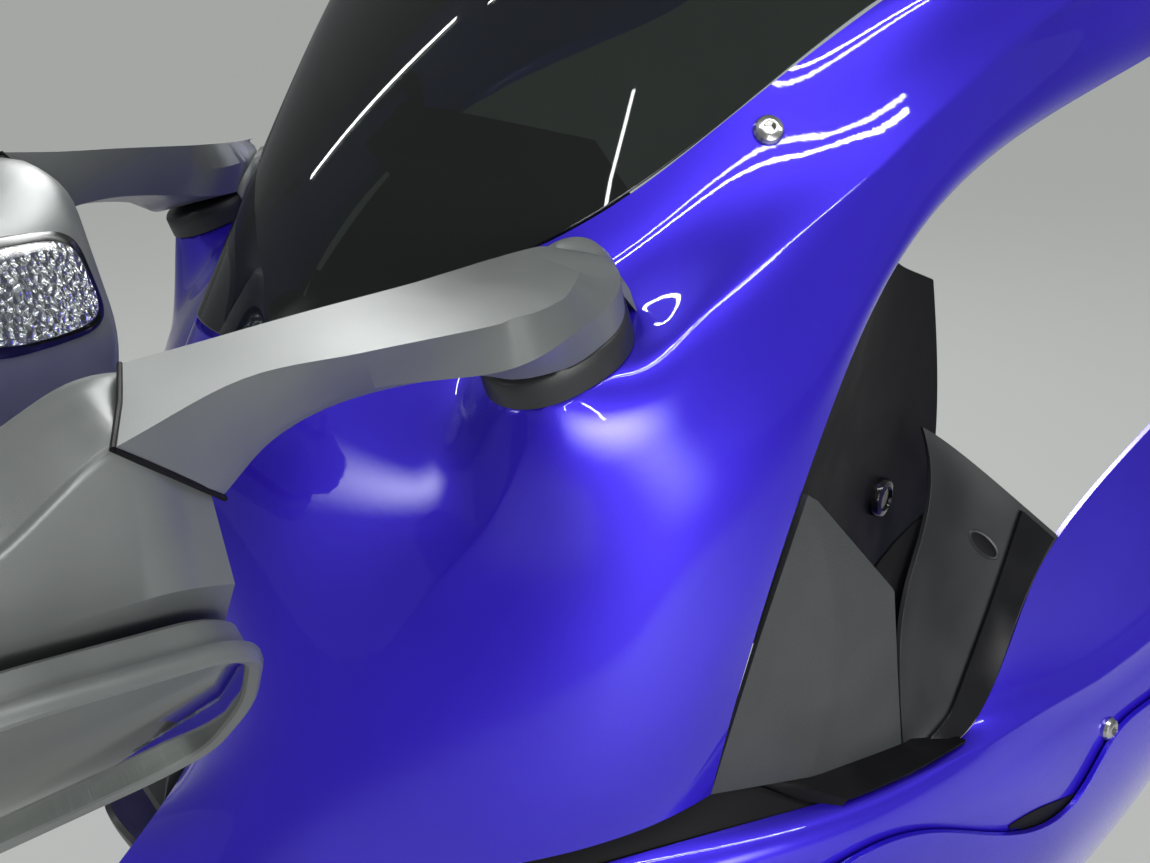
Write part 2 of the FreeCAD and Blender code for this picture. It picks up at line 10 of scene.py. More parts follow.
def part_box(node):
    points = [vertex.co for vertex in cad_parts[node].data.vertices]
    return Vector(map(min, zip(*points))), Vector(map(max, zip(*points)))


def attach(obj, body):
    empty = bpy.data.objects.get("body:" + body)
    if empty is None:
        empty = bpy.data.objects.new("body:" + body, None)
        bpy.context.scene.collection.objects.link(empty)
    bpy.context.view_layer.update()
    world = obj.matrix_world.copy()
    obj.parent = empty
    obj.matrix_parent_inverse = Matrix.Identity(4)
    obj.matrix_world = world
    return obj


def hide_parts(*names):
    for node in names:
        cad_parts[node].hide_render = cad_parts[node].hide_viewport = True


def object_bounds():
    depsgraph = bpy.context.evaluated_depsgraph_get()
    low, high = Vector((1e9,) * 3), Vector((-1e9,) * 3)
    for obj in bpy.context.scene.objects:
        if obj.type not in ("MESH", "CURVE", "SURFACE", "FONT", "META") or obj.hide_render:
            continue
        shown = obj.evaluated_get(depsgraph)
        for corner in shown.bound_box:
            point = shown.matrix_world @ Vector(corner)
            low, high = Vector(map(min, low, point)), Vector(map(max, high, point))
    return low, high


# Looks of the front fairing assembly. Tables are in millimetres, as in the part's source;
# meshes are in metres. +X forward, +Y to the machine's left, +Z up.

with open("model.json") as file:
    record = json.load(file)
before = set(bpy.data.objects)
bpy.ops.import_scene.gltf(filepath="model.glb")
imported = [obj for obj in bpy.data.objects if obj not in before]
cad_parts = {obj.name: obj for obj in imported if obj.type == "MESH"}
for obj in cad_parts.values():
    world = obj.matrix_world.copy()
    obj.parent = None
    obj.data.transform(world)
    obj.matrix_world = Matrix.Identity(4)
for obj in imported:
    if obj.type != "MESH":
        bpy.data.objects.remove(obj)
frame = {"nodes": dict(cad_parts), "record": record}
cad_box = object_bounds()
MM = 0.001

# Panel and fit sizes
panel_t = 3.0
screen_t = 3.0
liner_t = 2.5
seam = 0.5
rim_round = 0.7
screw_r = 6.8
screw_sides = 24
socket_r = screw_r * 0.36

# A point inside the body, from which the panels' outer faces look away
INSIDE = (60, 0, -40)

# Upper cowl, left half. Each row is a rib from the screen edge down to the hem;
# rows run from the nose to the rear. Columns:
# screen edge, band, crease, shoulder, flank, low flank, hem
COWL = [
    [(316, 16, -30), (311, 23, -54), (309, 31, -72), (317, 39, -85), (338, 42, -101), (357, 44, -115),
     (367, 46, -121)],
    [(285, 22, 60), (296, 44, 30), (303, 64, -5), (309, 80, -38), (318, 91, -68), (332, 96, -94),
     (342, 98, -112)],
    [(240, 48, 118), (251, 74, 94), (257, 98, 57), (265, 125, 14), (273, 142, -27), (296, 136, -74),
     (302, 136, -100)],
    [(190, 97, 139), (203, 116, 110), (213, 173, 88), (216, 176, 47), (218, 193, 4), (256, 172, -52),
     (264, 168, -90)],
    [(130, 135, 166), (142, 147, 124), (158, 202, 144), (159, 208, 100), (158, 222, 40), (218, 205, -40),
     (228, 197, -82)],
    [(60, 150, 212), (62, 164, 198), (60, 184, 169), (74, 205, 133), (102, 224, 85), (182, 223, -28),
     (196, 213, -78)],
    [(-18, 163, 251), (-30, 179, 246), (-110, 196, 224), (-10, 194, 168), (92, 219, 100), (157, 229, -12),
     (169, 218, -79)],
    [(-55, 166, 264), (-74, 197, 259), (-365, 200, 224), (-37, 178, 180), (89, 221, 100), (140, 228, -4),
     (146, 218, -80)],
]

# Windscreen, left half mirrored. Rows run from the front tip to the top edge;
# columns from the centreline to the side edge.
SCREEN = [
    [(259, 0, 111), (258, 15, 111), (254, 30, 110), (248, 41, 108), (241, 49, 108)],
    [(236, 0, 148), (232, 24, 148), (222, 48, 146), (208, 68, 144), (194, 82, 141)],
    [(180, 0, 222), (174, 44, 222), (158, 84, 220), (142, 106, 203), (127, 119, 173)],
    [(100, 0, 303), (96, 56, 303), (84, 104, 306), (74, 130, 274), (66, 140, 212)],
    [(10, 0, 362), (8, 62, 363), (2, 112, 366), (-6, 142, 326), (-12, 152, 252)],
    [(-60, 0, 386), (-60, 60, 387), (-58, 108, 392), (-56, 140, 358), (-54, 156, 284)],
]

# Side cowl, left. Rows run front to rear. Columns:
# top edge, ledge, crease, upper flank, lower flank, bottom edge
SIDE_COWL = [
    [(300, 104, -150), (303, 114, -152), (302, 124, -160), (298, 130, -195), (290, 126, -240),
     (280, 112, -285)],
    [(250, 172, -112), (251, 186, -114), (248, 196, -124), (242, 198, -170), (232, 188, -235),
     (216, 166, -310)],
    [(192, 212, -92), (188, 224, -96), (180, 232, -106), (174, 234, -155), (162, 222, -240),
     (146, 192, -335)],
    [(110, 236, -99), (106, 246, -101), (100, 257, -110), (92, 260, -160), (80, 248, -250),
     (64, 214, -360)],
    [(15, 256, -116), (18, 259, -110), (26, 265, -110), (18, 272, -160), (0, 266, -250), (-14, 232, -375)],
    [(-30, 252, -98), (-36, 256, -104), (-46, 270, -112), (-62, 284, -160), (-80, 280, -245),
     (-95, 242, -370)],
    [(-62, 244, -52), (-78, 256, -88), (-104, 270, -110), (-130, 290, -160), (-155, 288, -225),
     (-175, 252, -340)],
    [(-90, 240, -22), (-120, 258, -72), (-165, 276, -100), (-200, 293, -140), (-235, 290, -190),
     (-262, 258, -280)],
    [(-190, 240, 10), (-215, 262, -50), (-240, 282, -85), (-262, 293, -125), (-282, 290, -170),
     (-300, 262, -240)],
]

# Black side trim between the cowl's rear edge and the recess, left
TRIM = [
    [(100, 223, 59), (96, 222, 56), (92, 222, 53)],
    [(126, 224, 0), (80, 230, -10), (31, 225, -17)],
    [(138, 221, -45), (86, 233, -52), (29, 231, -62)],
    [(146, 218, -80), (92, 231, -93), (29, 239, -106)],
]

# Concave recess panel behind the trim, left
RECESS = [
    [(-39, 185, 34), (-52, 194, 25), (-72, 210, 2), (-93, 241, -28)],
    [(-42, 200, 2), (-48, 205, -9), (-64, 217, -26), (-75, 243, -42)],
    [(29, 225, -18), (2, 216, -36), (-28, 226, -52), (-53, 247, -66)],
    [(28, 231, -62), (10, 228, -76), (-10, 236, -86), (-28, 251, -92)],
    [(28, 239, -105), (19, 243, -107), (9, 248, -108), (1, 253, -108)],
]

# Inner panel between the cowl's rear edge and the fork, left. Rows run top to bottom;
# columns front to rear. The first column is laid on the cowl's inner face.
inner_u = 0.95
INNER_V = (0.53, 0.64, 0.78, 0.90)
INNER = [
    [(40, 193, 140), (4, 172, 128), (-38, 160, 117), (-75, 158, 100)],
    [(78, 206, 80), (24, 178, 66), (-40, 161, 52), (-90, 158, 36)],
    [(95, 212, 20), (34, 182, -2), (-36, 163, -18), (-98, 161, -32)],
    [(105, 212, -30), (44, 187, -52), (-18, 168, -68), (-66, 165, -78)],
]

# Lower layer over the side cowl: its top edge and bottom edge as (u, v, v) on the side cowl
LAYER = [
    (0.13, 0.64, 0.72),
    (0.23, 0.50, 0.82),
    (0.33, 0.42, 0.90),
    (0.42, 0.42, 0.93),
    (0.50, 0.53, 0.94),
    (0.58, 0.64, 0.94),
    (0.67, 0.69, 0.94),
    (0.76, 0.61, 0.93),
    (0.86, 0.56, 0.88),
    (0.95, 0.53, 0.78),
]
layer_out = 4.5

# Nose top panel between the two cowls, left half mirrored
NOSE = [
    [(260, 0, 108), (259, 16, 107), (255, 31, 106), (246, 47, 104)],
    [(282, 0, 84), (281, 13, 82), (277, 24, 77), (270, 34, 76)],
    [(308, 0, 40), (307, 8, 38), (304, 15, 32), (300, 22, 26)],
    [(322, 0, -28), (322, 6, -28), (320, 11, -29), (316, 16, -30)],
]

# Chin panel under the mouth, left half mirrored
CHIN = [
    [(352, 0, -124), (349, 18, -128), (334, 46, -158), (316, 82, -162), (300, 104, -154)],
    [(350, 0, -146), (346, 24, -149), (330, 54, -169), (314, 88, -172), (301, 112, -160)],
    [(336, 0, -172), (332, 30, -174), (320, 62, -182), (309, 96, -183), (301, 124, -175)],
    [(310, 0, -198), (309, 34, -199), (306, 68, -199), (303, 100, -198), (300, 128, -195)],
]

# Mirror hinge: a point on its axis and the lean of the axis
hinge = Vector((181.0, 158.4, 138.0))
lean = Vector((0.33, 0.08, 0.94)).normalized()
hinge_r = 27.5
hinge_gap = 0.3
hinge_front = (Vector((1, 0, 0)) - lean * lean.x).normalized()
hinge_left = lean.cross(hinge_front)
fold_in_right = 45.0

# Mirror arm past the hub, left, in stations along X: far top, near top, near low, far low
ARM = [
    [(232, 142, 161), (236, 199, 161), (234, 181, 137), (232, 157, 137)],
    [(283, 153, 164), (285, 199, 164), (282, 181, 142), (282, 166, 142)],
    [(321, 162, 166), (323, 199, 166), (312, 188, 140), (317, 170, 140)],
    [(347, 172, 169), (366, 222, 167), (334, 199, 133), (334, 173, 134)],
]

# Mirror head shell, left, in stations along X. Each further column is a (y, z) corner:
# x, foot, lip, crease, ridge, back, heel
HEAD = [
    (338, (164, 42), (210, 101), (201, 137), (168, 165), (151, 148), (149, 81)),
    (347, (163, 41), (212, 106), (207, 148), (168, 169), (148, 150), (144, 80)),
    (362, (161, 40), (214, 113), (219, 166), (168, 169), (143, 144), (136, 78)),
    (403, (160, 42), (218, 121), (221, 146), (166, 150), (140, 134), (131, 84)),
    (452, (161, 44), (221, 125), (222, 140), (175, 146), (146, 129), (140, 89)),
    (493, (173, 62), (216, 114), (216, 126), (186, 131), (166, 118), (162, 88)),
]

# Mirror glass: outline in its own plane, along the head and up the glass
GLASS = [(9, 4), (0, 33), (3, 70), (15, 82), (69, 98), (118, 101), (146, 87),
         (157, 57), (148, 22), (129, 3), (26, 0)]
glass_foot = Vector((337.4, 174.8, 30.1))
glass_along = Vector((1, 0, 0))
glass_up = Vector((0.0, 0.58, 0.815)).normalized()
glass_n = glass_up.cross(glass_along)
glass_mid = (76.0, 52.0)
glass_round = 14.0
bezel_t = 14.0
bezel_rim = 5.5
head_gap = 5.0
rim_proud = 1.5


# Spline maths
def evenly(count):
    return np.linspace(0, 1, count)


def basis(count, ts, degree=3):
    """Rows of clamped uniform B-spline weights, one row for each parameter."""
    knots = np.concatenate([np.zeros(degree), evenly(count - degree + 1), np.ones(degree)])
    t = np.clip(np.asarray(ts, float), 0, 1 - 1e-9)[:, None]
    rows = ((knots[:-1] <= t) & (t < knots[1:])).astype(float)
    for d in range(1, degree + 1):
        n = len(knots) - d - 1
        low, high = knots[d:d + n] - knots[:n], knots[d + 1:d + 1 + n] - knots[1:1 + n]
        up = np.where(low > 0, (t - knots[:n]) / np.where(low > 0, low, 1), 0)
        down = np.where(high > 0, (knots[d + 1:d + 1 + n] - t) / np.where(high > 0, high, 1), 0)
        rows = up * rows[:, :n] + down * rows[:, 1:n + 1]
    return rows


def sheet_grid(net, us, vs, degree=3):
    poles = np.array(net, float)
    along, across = basis(poles.shape[0], us, degree), basis(poles.shape[1], vs, degree)
    return np.einsum("ai,bj,ijk->abk", along, across, poles)


def outward(grid, inside=INSIDE):
    """Normals of a grid, pointing away from a point inside."""
    n = np.cross(np.gradient(grid, axis=0), np.gradient(grid, axis=1))
    n = n / np.maximum(np.linalg.norm(n, axis=2, keepdims=True), 1e-9)
    mid = grid.shape[0] // 2, grid.shape[1] // 2
    return -n if np.dot(n[mid], grid[mid] - np.array(inside)) < 0 else n


def site(net, u, v, degree=3):
    """A point on the sheet and its outward normal."""
    step = 0.002
    us, vs = np.clip([u - step, u, u + step], 0, 1), np.clip([v - step, v, v + step], 0, 1)
    grid = sheet_grid(net, us, vs, degree)
    point = grid[1, 1]
    n = np.cross(grid[2, 1] - grid[0, 1], grid[1, 2] - grid[1, 0])
    n = n / np.linalg.norm(n)
    if np.dot(n, point - np.array(INSIDE)) < 0:
        n = -n
    return Vector(point), Vector(n)


def beside(net, along, start, stop, count, gap):
    """Poles that follow one edge of a net from start to stop, a gap outside it."""
    points = []
    step = 0.001
    for t in np.linspace(start, stop, count):
        edge = {"front": 0.0, "rear": 1.0, "top": 0.0, "hem": 1.0}[along]
        inner = step if edge == 0.0 else 1.0 - step
        if along in ("front", "rear"):
            spots = sheet_grid(net, [edge, inner], [t, t + step])
            here, back, side = spots[0, 0], spots[1, 0], spots[0, 1]
        else:
            spots = sheet_grid(net, [t, t + step], [edge, inner])
            here, back, side = spots[0, 0], spots[0, 1], spots[1, 0]
        run, away = side - here, here - back
        away = away - run * (away @ run) / (run @ run)
        points.append(here + away / np.linalg.norm(away) * gap)
    return np.linalg.solve(basis(count, evenly(count)), np.array(points))


def with_column(net, index, poles):
    out = [list(row) for row in net]
    for row, pole in zip(out, poles):
        row[index] = tuple(pole)
    return out


def whole(half):
    """A half net joined with its mirror across the centreline."""
    return [[(x, -y, z) for x, y, z in reversed(row[1:])] + list(row) for row in half]


SCREEN = with_column(SCREEN, -1, beside(COWL, "top", 0.20, 0.97, len(SCREEN), seam))
NOSE = with_column(NOSE, -1, beside(COWL, "top", 0.19, 0.0, len(NOSE), seam))
RECESS = with_column(RECESS, -1, beside(SIDE_COWL, "top", 0.915, 0.56, len(RECESS), seam))
CHIN = with_column(CHIN, -1, beside(SIDE_COWL, "front", 0.02, 0.46, len(CHIN), seam))


# Mesh helpers
def in_scene(obj):
    bpy.context.scene.collection.objects.link(obj)


def make(name, verts, faces, material, smooth=40.0, bevel=0.0, segments=2):
    """A mesh object from points in millimetres."""
    mesh = bpy.data.meshes.new(name)
    mesh.from_pydata([tuple(c * MM for c in v) for v in verts], [], [tuple(f) for f in faces])
    bm = bmesh.new()
    bm.from_mesh(mesh)
    bmesh.ops.recalc_face_normals(bm, faces=bm.faces)
    for f in bm.faces:
        f.smooth = True
    bm.to_mesh(mesh)
    bm.free()
    obj = bpy.data.objects.new(name, mesh)
    in_scene(obj)
    mesh.materials.append(material)
    if bevel:
        mod = obj.modifiers.new("round", "BEVEL")
        mod.width, mod.segments = bevel * MM, segments
        mod.limit_method, mod.angle_limit = "ANGLE", math.radians(smooth)
        mod.harden_normals = True
    mesh.set_sharp_from_angle(angle=math.radians(60.0 if bevel else smooth))
    return obj


def reflect(verts, body="fairing"):
    """The right-hand twin of left points; the right mirror also rests swung further in."""
    flipped = [Vector((v[0], -v[1], v[2])) for v in verts]
    if body != "mirror":
        return flipped
    pin = Vector((hinge.x, -hinge.y, hinge.z))
    turn = Matrix.Rotation(math.radians(fold_in_right), 3, Vector((lean.x, -lean.y, lean.z)))
    return [pin + turn @ (v - pin) for v in flipped]


def pair(name, verts, faces, material, body="fairing", node=None, slot=None, **options):
    """The left piece and its mirror image; body is a fixed body name or "mirror"."""
    made = []
    for side, points in (("left", verts), ("right", reflect(verts, body))):
        obj = make(name + "_" + side, points, faces, material, **options)
        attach(obj, "mirror_" + side if body == "mirror" else body)
        if node:
            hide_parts(node + "_" + side)
        made.append(obj)
    return made


def single(name, verts, faces, material, body="fairing", node=None, slot=None, **options):
    obj = make(name, verts, faces, material, **options)
    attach(obj, body)
    if node:
        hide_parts(node)
    return obj


def shell_mesh(grid, thick, inside=INSIDE):
    """Points and faces of a curved panel from its outer grid, its thickness and a point inside."""
    outer, inner = grid, grid - outward(grid, inside) * thick
    rows, cols = grid.shape[:2]
    verts = list(outer.reshape(-1, 3)) + list(inner.reshape(-1, 3))
    faces = []

    def at(i, j, layer):
        return layer * rows * cols + i * cols + j

    for i in range(rows - 1):
        for j in range(cols - 1):
            faces.append((at(i, j, 0), at(i, j + 1, 0), at(i + 1, j + 1, 0), at(i + 1, j, 0)))
            faces.append((at(i, j, 1), at(i + 1, j, 1), at(i + 1, j + 1, 1), at(i, j + 1, 1)))
    for i in range(rows - 1):
        for j in (0, cols - 1):
            faces.append((at(i, j, 0), at(i + 1, j, 0), at(i + 1, j, 1), at(i, j, 1)))
    for j in range(cols - 1):
        for i in (0, rows - 1):
            faces.append((at(i, j, 0), at(i, j + 1, 0), at(i, j + 1, 1), at(i, j, 1)))
    return verts, faces


def panel(net, thick, rows, cols, inside=INSIDE, degree=3):
    grid = sheet_grid(net, evenly(rows), evenly(cols), degree)
    return shell_mesh(grid, thick, inside)


def loft(rings):
    """Faces through rings of equal length, closed at both ends."""
    count = len(rings[0])
    verts = [p for ring in rings for p in ring]
    faces = []
    for r in range(len(rings) - 1):
        for k in range(count):
            m = (k + 1) % count
            faces.append((r * count + k, r * count + m, (r + 1) * count + m, (r + 1) * count + k))
    faces.append(tuple(range(count)))
    faces.append(tuple((len(rings) - 1) * count + k for k in reversed(range(count))))
    return verts, faces


def circle(count):
    """Angles of a full turn in equal steps."""
    return [2 * math.pi * k / count for k in range(count)]


def through_line(points, ts):
    """Points along the smooth line through the given points."""
    pts = np.array(points, float)
    poles = np.linalg.solve(basis(len(pts), evenly(len(pts))), pts)
    return basis(len(pts), ts) @ poles


# Materials
def nodes_of(name):
    mat = bpy.data.materials.new(name)
    mat.use_nodes = True
    tree = mat.node_tree
    return mat, tree, tree.nodes["Principled BSDF"]


def noise(tree, scale, detail=2.0, kind="ShaderNodeTexNoise"):
    where = tree.nodes.new("ShaderNodeTexCoord")
    node = tree.nodes.new(kind)
    node.inputs["Scale"].default_value = scale
    if "Detail" in node.inputs:
        node.inputs["Detail"].default_value = detail
    tree.links.new(where.outputs["Object"], node.inputs["Vector"])
    return node


def spread(tree, source, low, high, start=0.0, stop=1.0):
    """The source value mapped to a range, for roughness and the like."""
    node = tree.nodes.new("ShaderNodeMapRange")
    node.inputs["From Min"].default_value = start
    node.inputs["From Max"].default_value = stop
    node.inputs["To Min"].default_value = low
    node.inputs["To Max"].default_value = high
    tree.links.new(source, node.inputs["Value"])
    return node.outputs["Result"]


def blend_colour(tree, factor, a, b):
    node = tree.nodes.new("ShaderNodeMix")
    node.data_type = "RGBA"
    node.inputs[6].default_value = (*a, 1)
    node.inputs[7].default_value = (*b, 1)
    tree.links.new(factor, node.inputs[0])
    return node.outputs[2]


def bump(tree, height, strength, distance, target, socket="Normal"):
    node = tree.nodes.new("ShaderNodeBump")
    node.inputs["Strength"].default_value = strength
    node.inputs["Distance"].default_value = distance
    tree.links.new(height, node.inputs["Height"])
    tree.links.new(node.outputs["Normal"], target.inputs[socket])


def combined(tree, operation, one, other):
    """A math node on two values, each an output or a plain number."""
    node = tree.nodes.new("ShaderNodeMath")
    node.operation = operation
    for socket, value in zip(node.inputs, (one, other)):
        if isinstance(value, float):
            socket.default_value = value
        else:
            tree.links.new(value, socket)
    return node


def paint():
    mat, tree, sh = nodes_of("pearl_violet")
    flake = noise(tree, 2200.0, 0.0, "ShaderNodeTexVoronoi")
    drift = noise(tree, 9.0, 3.0)
    tint = blend_colour(tree, spread(tree, drift.outputs["Fac"], 0.0, 1.0, 0.3, 0.7),
                        (0.030, 0.008, 0.62), (0.040, 0.012, 0.74))
    tree.links.new(tint, sh.inputs["Base Color"])
    sh.inputs["Metallic"].default_value = 0.6
    tree.links.new(spread(tree, flake.outputs["Color"], 0.34, 0.50), sh.inputs["Roughness"])
    bump(tree, flake.outputs["Distance"], 0.12, 0.0002, sh)
    peel = noise(tree, 260.0, 1.0)
    bump(tree, peel.outputs["Fac"], 0.05, 0.0002, sh, "Coat Normal")
    sh.inputs["Coat Weight"].default_value = 1.0
    sh.inputs["Coat Roughness"].default_value = 0.03
    sh.inputs["Coat IOR"].default_value = 1.5
    return mat


def smoked():
    mat, tree, sh = nodes_of("smoked_polycarbonate")
    haze = noise(tree, 40.0, 3.0)
    tint = blend_colour(tree, haze.outputs["Fac"], (0.035, 0.045, 0.040), (0.045, 0.055, 0.048))
    tree.links.new(tint, sh.inputs["Base Color"])
    tree.links.new(spread(tree, haze.outputs["Fac"], 0.015, 0.035), sh.inputs["Roughness"])
    sh.inputs["Transmission Weight"].default_value = 0.85
    sh.inputs["IOR"].default_value = 1.56
    return mat


def plastic(name, dark, light, rough, grain, depth, metal=0.0, cells=False):
    """A moulded or painted surface: two close tones, uneven roughness and a fine grain."""
    mat, tree, sh = nodes_of(name)
    cloud = noise(tree, 35.0, 4.0)
    tree.links.new(blend_colour(tree, spread(tree, cloud.outputs["Fac"], 0, 1, 0.3, 0.7), dark, light),
                   sh.inputs["Base Color"])
    uneven = spread(tree, cloud.outputs["Fac"], rough - 0.06, rough + 0.06, 0.3, 0.7)
    tree.links.new(uneven, sh.inputs["Roughness"])
    fine = noise(tree, grain, 2.0, "ShaderNodeTexVoronoi" if cells else "ShaderNodeTexNoise")
    bump(tree, fine.outputs["Distance" if cells else "Fac"], 0.35, depth, sh)
    sh.inputs["Metallic"].default_value = metal
    return mat


def metal(name, tone, rough, scale=300.0):
    mat, tree, sh = nodes_of(name)
    cloud = noise(tree, scale, 2.0)
    pale = tuple(min(1.0, c * 1.12) for c in tone)
    tree.links.new(blend_colour(tree, cloud.outputs["Fac"], tone, pale), sh.inputs["Base Color"])
    tree.links.new(spread(tree, cloud.outputs["Fac"], rough - 0.05, rough + 0.08), sh.inputs["Roughness"])
    sh.inputs["Metallic"].default_value = 1.0
    bump(tree, cloud.outputs["Fac"], 0.1, 0.0001, sh)
    return mat


def lens(name, tone, rough, weight):
    mat, tree, sh = nodes_of(name)
    cloud = noise(tree, 60.0, 2.0)
    tree.links.new(blend_colour(tree, cloud.outputs["Fac"], tone, tuple(c * 0.97 for c in tone)),
                   sh.inputs["Base Color"])
    tree.links.new(spread(tree, cloud.outputs["Fac"], rough, rough + 0.02), sh.inputs["Roughness"])
    sh.inputs["Transmission Weight"].default_value = weight
    sh.inputs["IOR"].default_value = 1.5
    return mat


PAINT = paint()
SMOKED = smoked()
GREY = plastic("mirror_satin_grey", (0.165, 0.177, 0.172), (0.188, 0.200, 0.194), 0.40, 2600.0, 0.00012,
               metal=0.35)
GRAINED = plastic("coarse_grained_black", (0.040, 0.044, 0.044), (0.052, 0.056, 0.056), 0.46, 1100.0,
                  0.0004, cells=True)
BLACK = plastic("smooth_moulded_black", (0.018, 0.019, 0.020), (0.026, 0.027, 0.028), 0.40, 3200.0, 0.0001)
# Near-black with little gloss, a shaded copy of the black plastic: painted shade for the inner panel, the
# gap strips, the vent and the recess slot. It also colours the dark joint line of the mirror.
SHADE_AND_JOINT_BLACK = plastic("painted_shade_and_joint_black", (0.004, 0.004, 0.005), (0.007, 0.007, 0.008), 0.60, 1500.0, 0.0002)
SHADE_AND_JOINT_BLACK.node_tree.nodes["Principled BSDF"].inputs["Specular IOR Level"].default_value = 0.15
GLOSS = plastic("gloss_black", (0.006, 0.006, 0.007), (0.010, 0.010, 0.011), 0.14, 900.0, 0.00002)
COATED = plastic("black_powder_coat", (0.016, 0.016, 0.017), (0.024, 0.024, 0.025), 0.48, 1800.0, 0.0002,
                 metal=0.1)
STEEL = metal("bright_steel", (0.56, 0.56, 0.55), 0.24)
MIRROR = metal("silvered_mirror", (0.27, 0.29, 0.26), 0.05, 40.0)
MIRROR.node_tree.nodes["Bump"].inputs["Strength"].default_value = 0.0
CLEAR = lens("clear_moulded_lens", (0.93, 0.95, 0.96), 0.01, 0.95)
CHROME = metal("reflector_chrome", (0.78, 0.79, 0.80), 0.07, 90.0)
CRYSTAL = metal("cut_reflector", (0.74, 0.76, 0.78), 0.10, 120.0)
facets = noise(CRYSTAL.node_tree, 240.0, 0.0, "ShaderNodeTexVoronoi")
bump(CRYSTAL.node_tree, facets.outputs["Distance"], 0.9, 0.003, CRYSTAL.node_tree.nodes["Principled BSDF"])
DISPLAY = lens("display_cover", (0.010, 0.012, 0.014), 0.04, 0.0)

SLOT_MATERIAL = {"violet_paint": PAINT, "smoked_screen": SMOKED, "mirror_grey": GREY,
                 "grained_plastic": GRAINED, "black_plastic": BLACK, "black_metal": COATED,
                 "stay_black": COATED, "display_glass": DISPLAY, "clear_lens": CLEAR,
                 "mirror_face": MIRROR}
for entry in frame["record"]["subparts"]:
    node = frame["nodes"][entry["node"]]
    node.data.materials.clear()
    node.data.materials.append(SLOT_MATERIAL[entry["material_slot"]])

# Painted panels. The cowl's shoulder crease: where it runs, as (u, v) on the sheet
CREASE = [(0.20, 0.60), (0.254, 0.54), (0.312, 0.45), (0.392, 0.37), (0.454, 0.32), (0.504, 0.295),
          (0.646, 0.285), (0.771, 0.285), (0.825, 0.28), (0.88, 0.235), (0.938, 0.167), (1.0, 0.12)]
crease_high, crease_wide, crease_from = 1.8, 26.0, 0.22
# The side cowl's ledge line
LEDGE = [(0.0, 0.06), (0.24, 0.035), (0.337, 0.05), (0.447, 0.085), (0.487, 0.127), (0.573, 0.213),
         (0.727, 0.28), (0.83, 0.335), (0.913, 0.357), (1.0, 0.37)]
ledge_high, ledge_wide, ledge_from = 3.0, 20.0, 0.38
# How far along a line takes to reach its full height, and how columns crowd towards the top edge
fade_run = 0.2
top_bias = 1.15


def creased(net, rows, cols, line, high, wide, fade_from):
    """The sheet with a sharp low ridge along a line, fading out towards the front."""
    us, vs = evenly(rows), evenly(cols) ** top_bias
    grid = sheet_grid(net, us, vs)
    n = outward(grid)
    at = np.interp(us, [c[0] for c in line], [c[1] for c in line])
    steps = np.linalg.norm(np.diff(grid, axis=1), axis=2)
    run = np.concatenate([np.zeros((rows, 1)), np.cumsum(steps, axis=1)], axis=1)
    for i, u in enumerate(us):
        away = np.abs(run[i] - np.interp(at[i], vs, run[i])) / wide
        fade = min(1.0, max(0.0, (u - fade_from) / fade_run))
        lift = high * fade * np.clip(1 - away, 0, 1) ** 2
        grid[i] += n[i] * lift[:, None]
    return grid


# The cowl rises to meet the mirror base round the hinge
cup_drop = 13.0
rise_wide = 42.0
rise_under = 0.6
rise_most = 90.0
rise_power = 3.2
base_r = 28.0
toe_long, toe_at = 9.0, 12
lobe_long, lobe_at = 15.0, 212


def base_reach(angle):
    """The base's radius at an angle: a circle, a short toe under the arm and a lobe to the screen."""
    toe = toe_long * max(0.0, math.cos(math.radians(angle - toe_at))) ** 3
    lobe = lobe_long * max(0.0, math.cos(math.radians(angle - lobe_at))) ** 6
    return base_r + toe + lobe


def raised(grid):
    """The sheet pulled up to the base's foot round the hinge, fading out with the distance."""
    for row in grid:
        for k, point in enumerate(row):
            away = Vector(point) - hinge
            high = away.dot(lean)
            flat = away - lean * high
            turned = math.degrees(math.atan2(flat.dot(hinge_left), flat.dot(hinge_front)))
            past = flat.length - base_reach(turned)
            lack = -cup_drop - rise_under - high
            if past < rise_wide and 0 < lack < rise_most:
                row[k] = point + np.array(lean) * (lack * (1 - max(0.0, past) / rise_wide) ** rise_power)
    return grid


cowl_grid = raised(creased(COWL, 170, 150, CREASE, crease_high, crease_wide, crease_from))
pair("cowl_skin", *shell_mesh(cowl_grid, panel_t), PAINT, node="cowl", slot="violet_paint",
     bevel=rim_round)
side_grid = creased(SIDE_COWL, 130, 110, LEDGE, ledge_high, ledge_wide, ledge_from)
pair("side_cowl_skin", *shell_mesh(side_grid, panel_t), PAINT, node="side_cowl",
     slot="violet_paint", bevel=rim_round)
single("nose_skin", *panel(whole(NOSE), panel_t, 60, 60, (0, 0, 0)), PAINT, node="nose_panel",
       slot="violet_paint", bevel=rim_round)

# Black panels
pair("side_trim_skin", *panel(TRIM, liner_t, 60, 40, degree=1), GRAINED, node="side_trim",
     slot="grained_plastic", bevel=rim_round)
pair("recess_skin", *panel(RECESS, liner_t, 70, 60), BLACK, node="recess_panel", slot="black_plastic",
     bevel=rim_round)
single("chin_skin", *panel(whole(CHIN), panel_t, 60, 100, (0, 0, 0)), BLACK, node="chin_panel",
       slot="black_plastic", bevel=rim_round)

# Inner panel behind the cowl's rear edge
for row, v in zip(INNER, INNER_V):
    point, out = site(COWL, inner_u, v)
    row[0] = tuple(point - out * (panel_t + 2 * seam))
for row, back, low in zip(INNER, (0, 4, 9, 6), (0, 0, 0, 6)):
    row[-1] = (row[-1][0] - back, row[-1][1], row[-1][2] - low)
# The inner panel takes the near-black shade material: painted shade on a black plastic panel that sits in
# shadow behind the cowl.
pair("inner_skin", *panel(INNER, liner_t, 60, 50), SHADE_AND_JOINT_BLACK, node="inner_panel", slot="black_plastic",
     bevel=0.8)


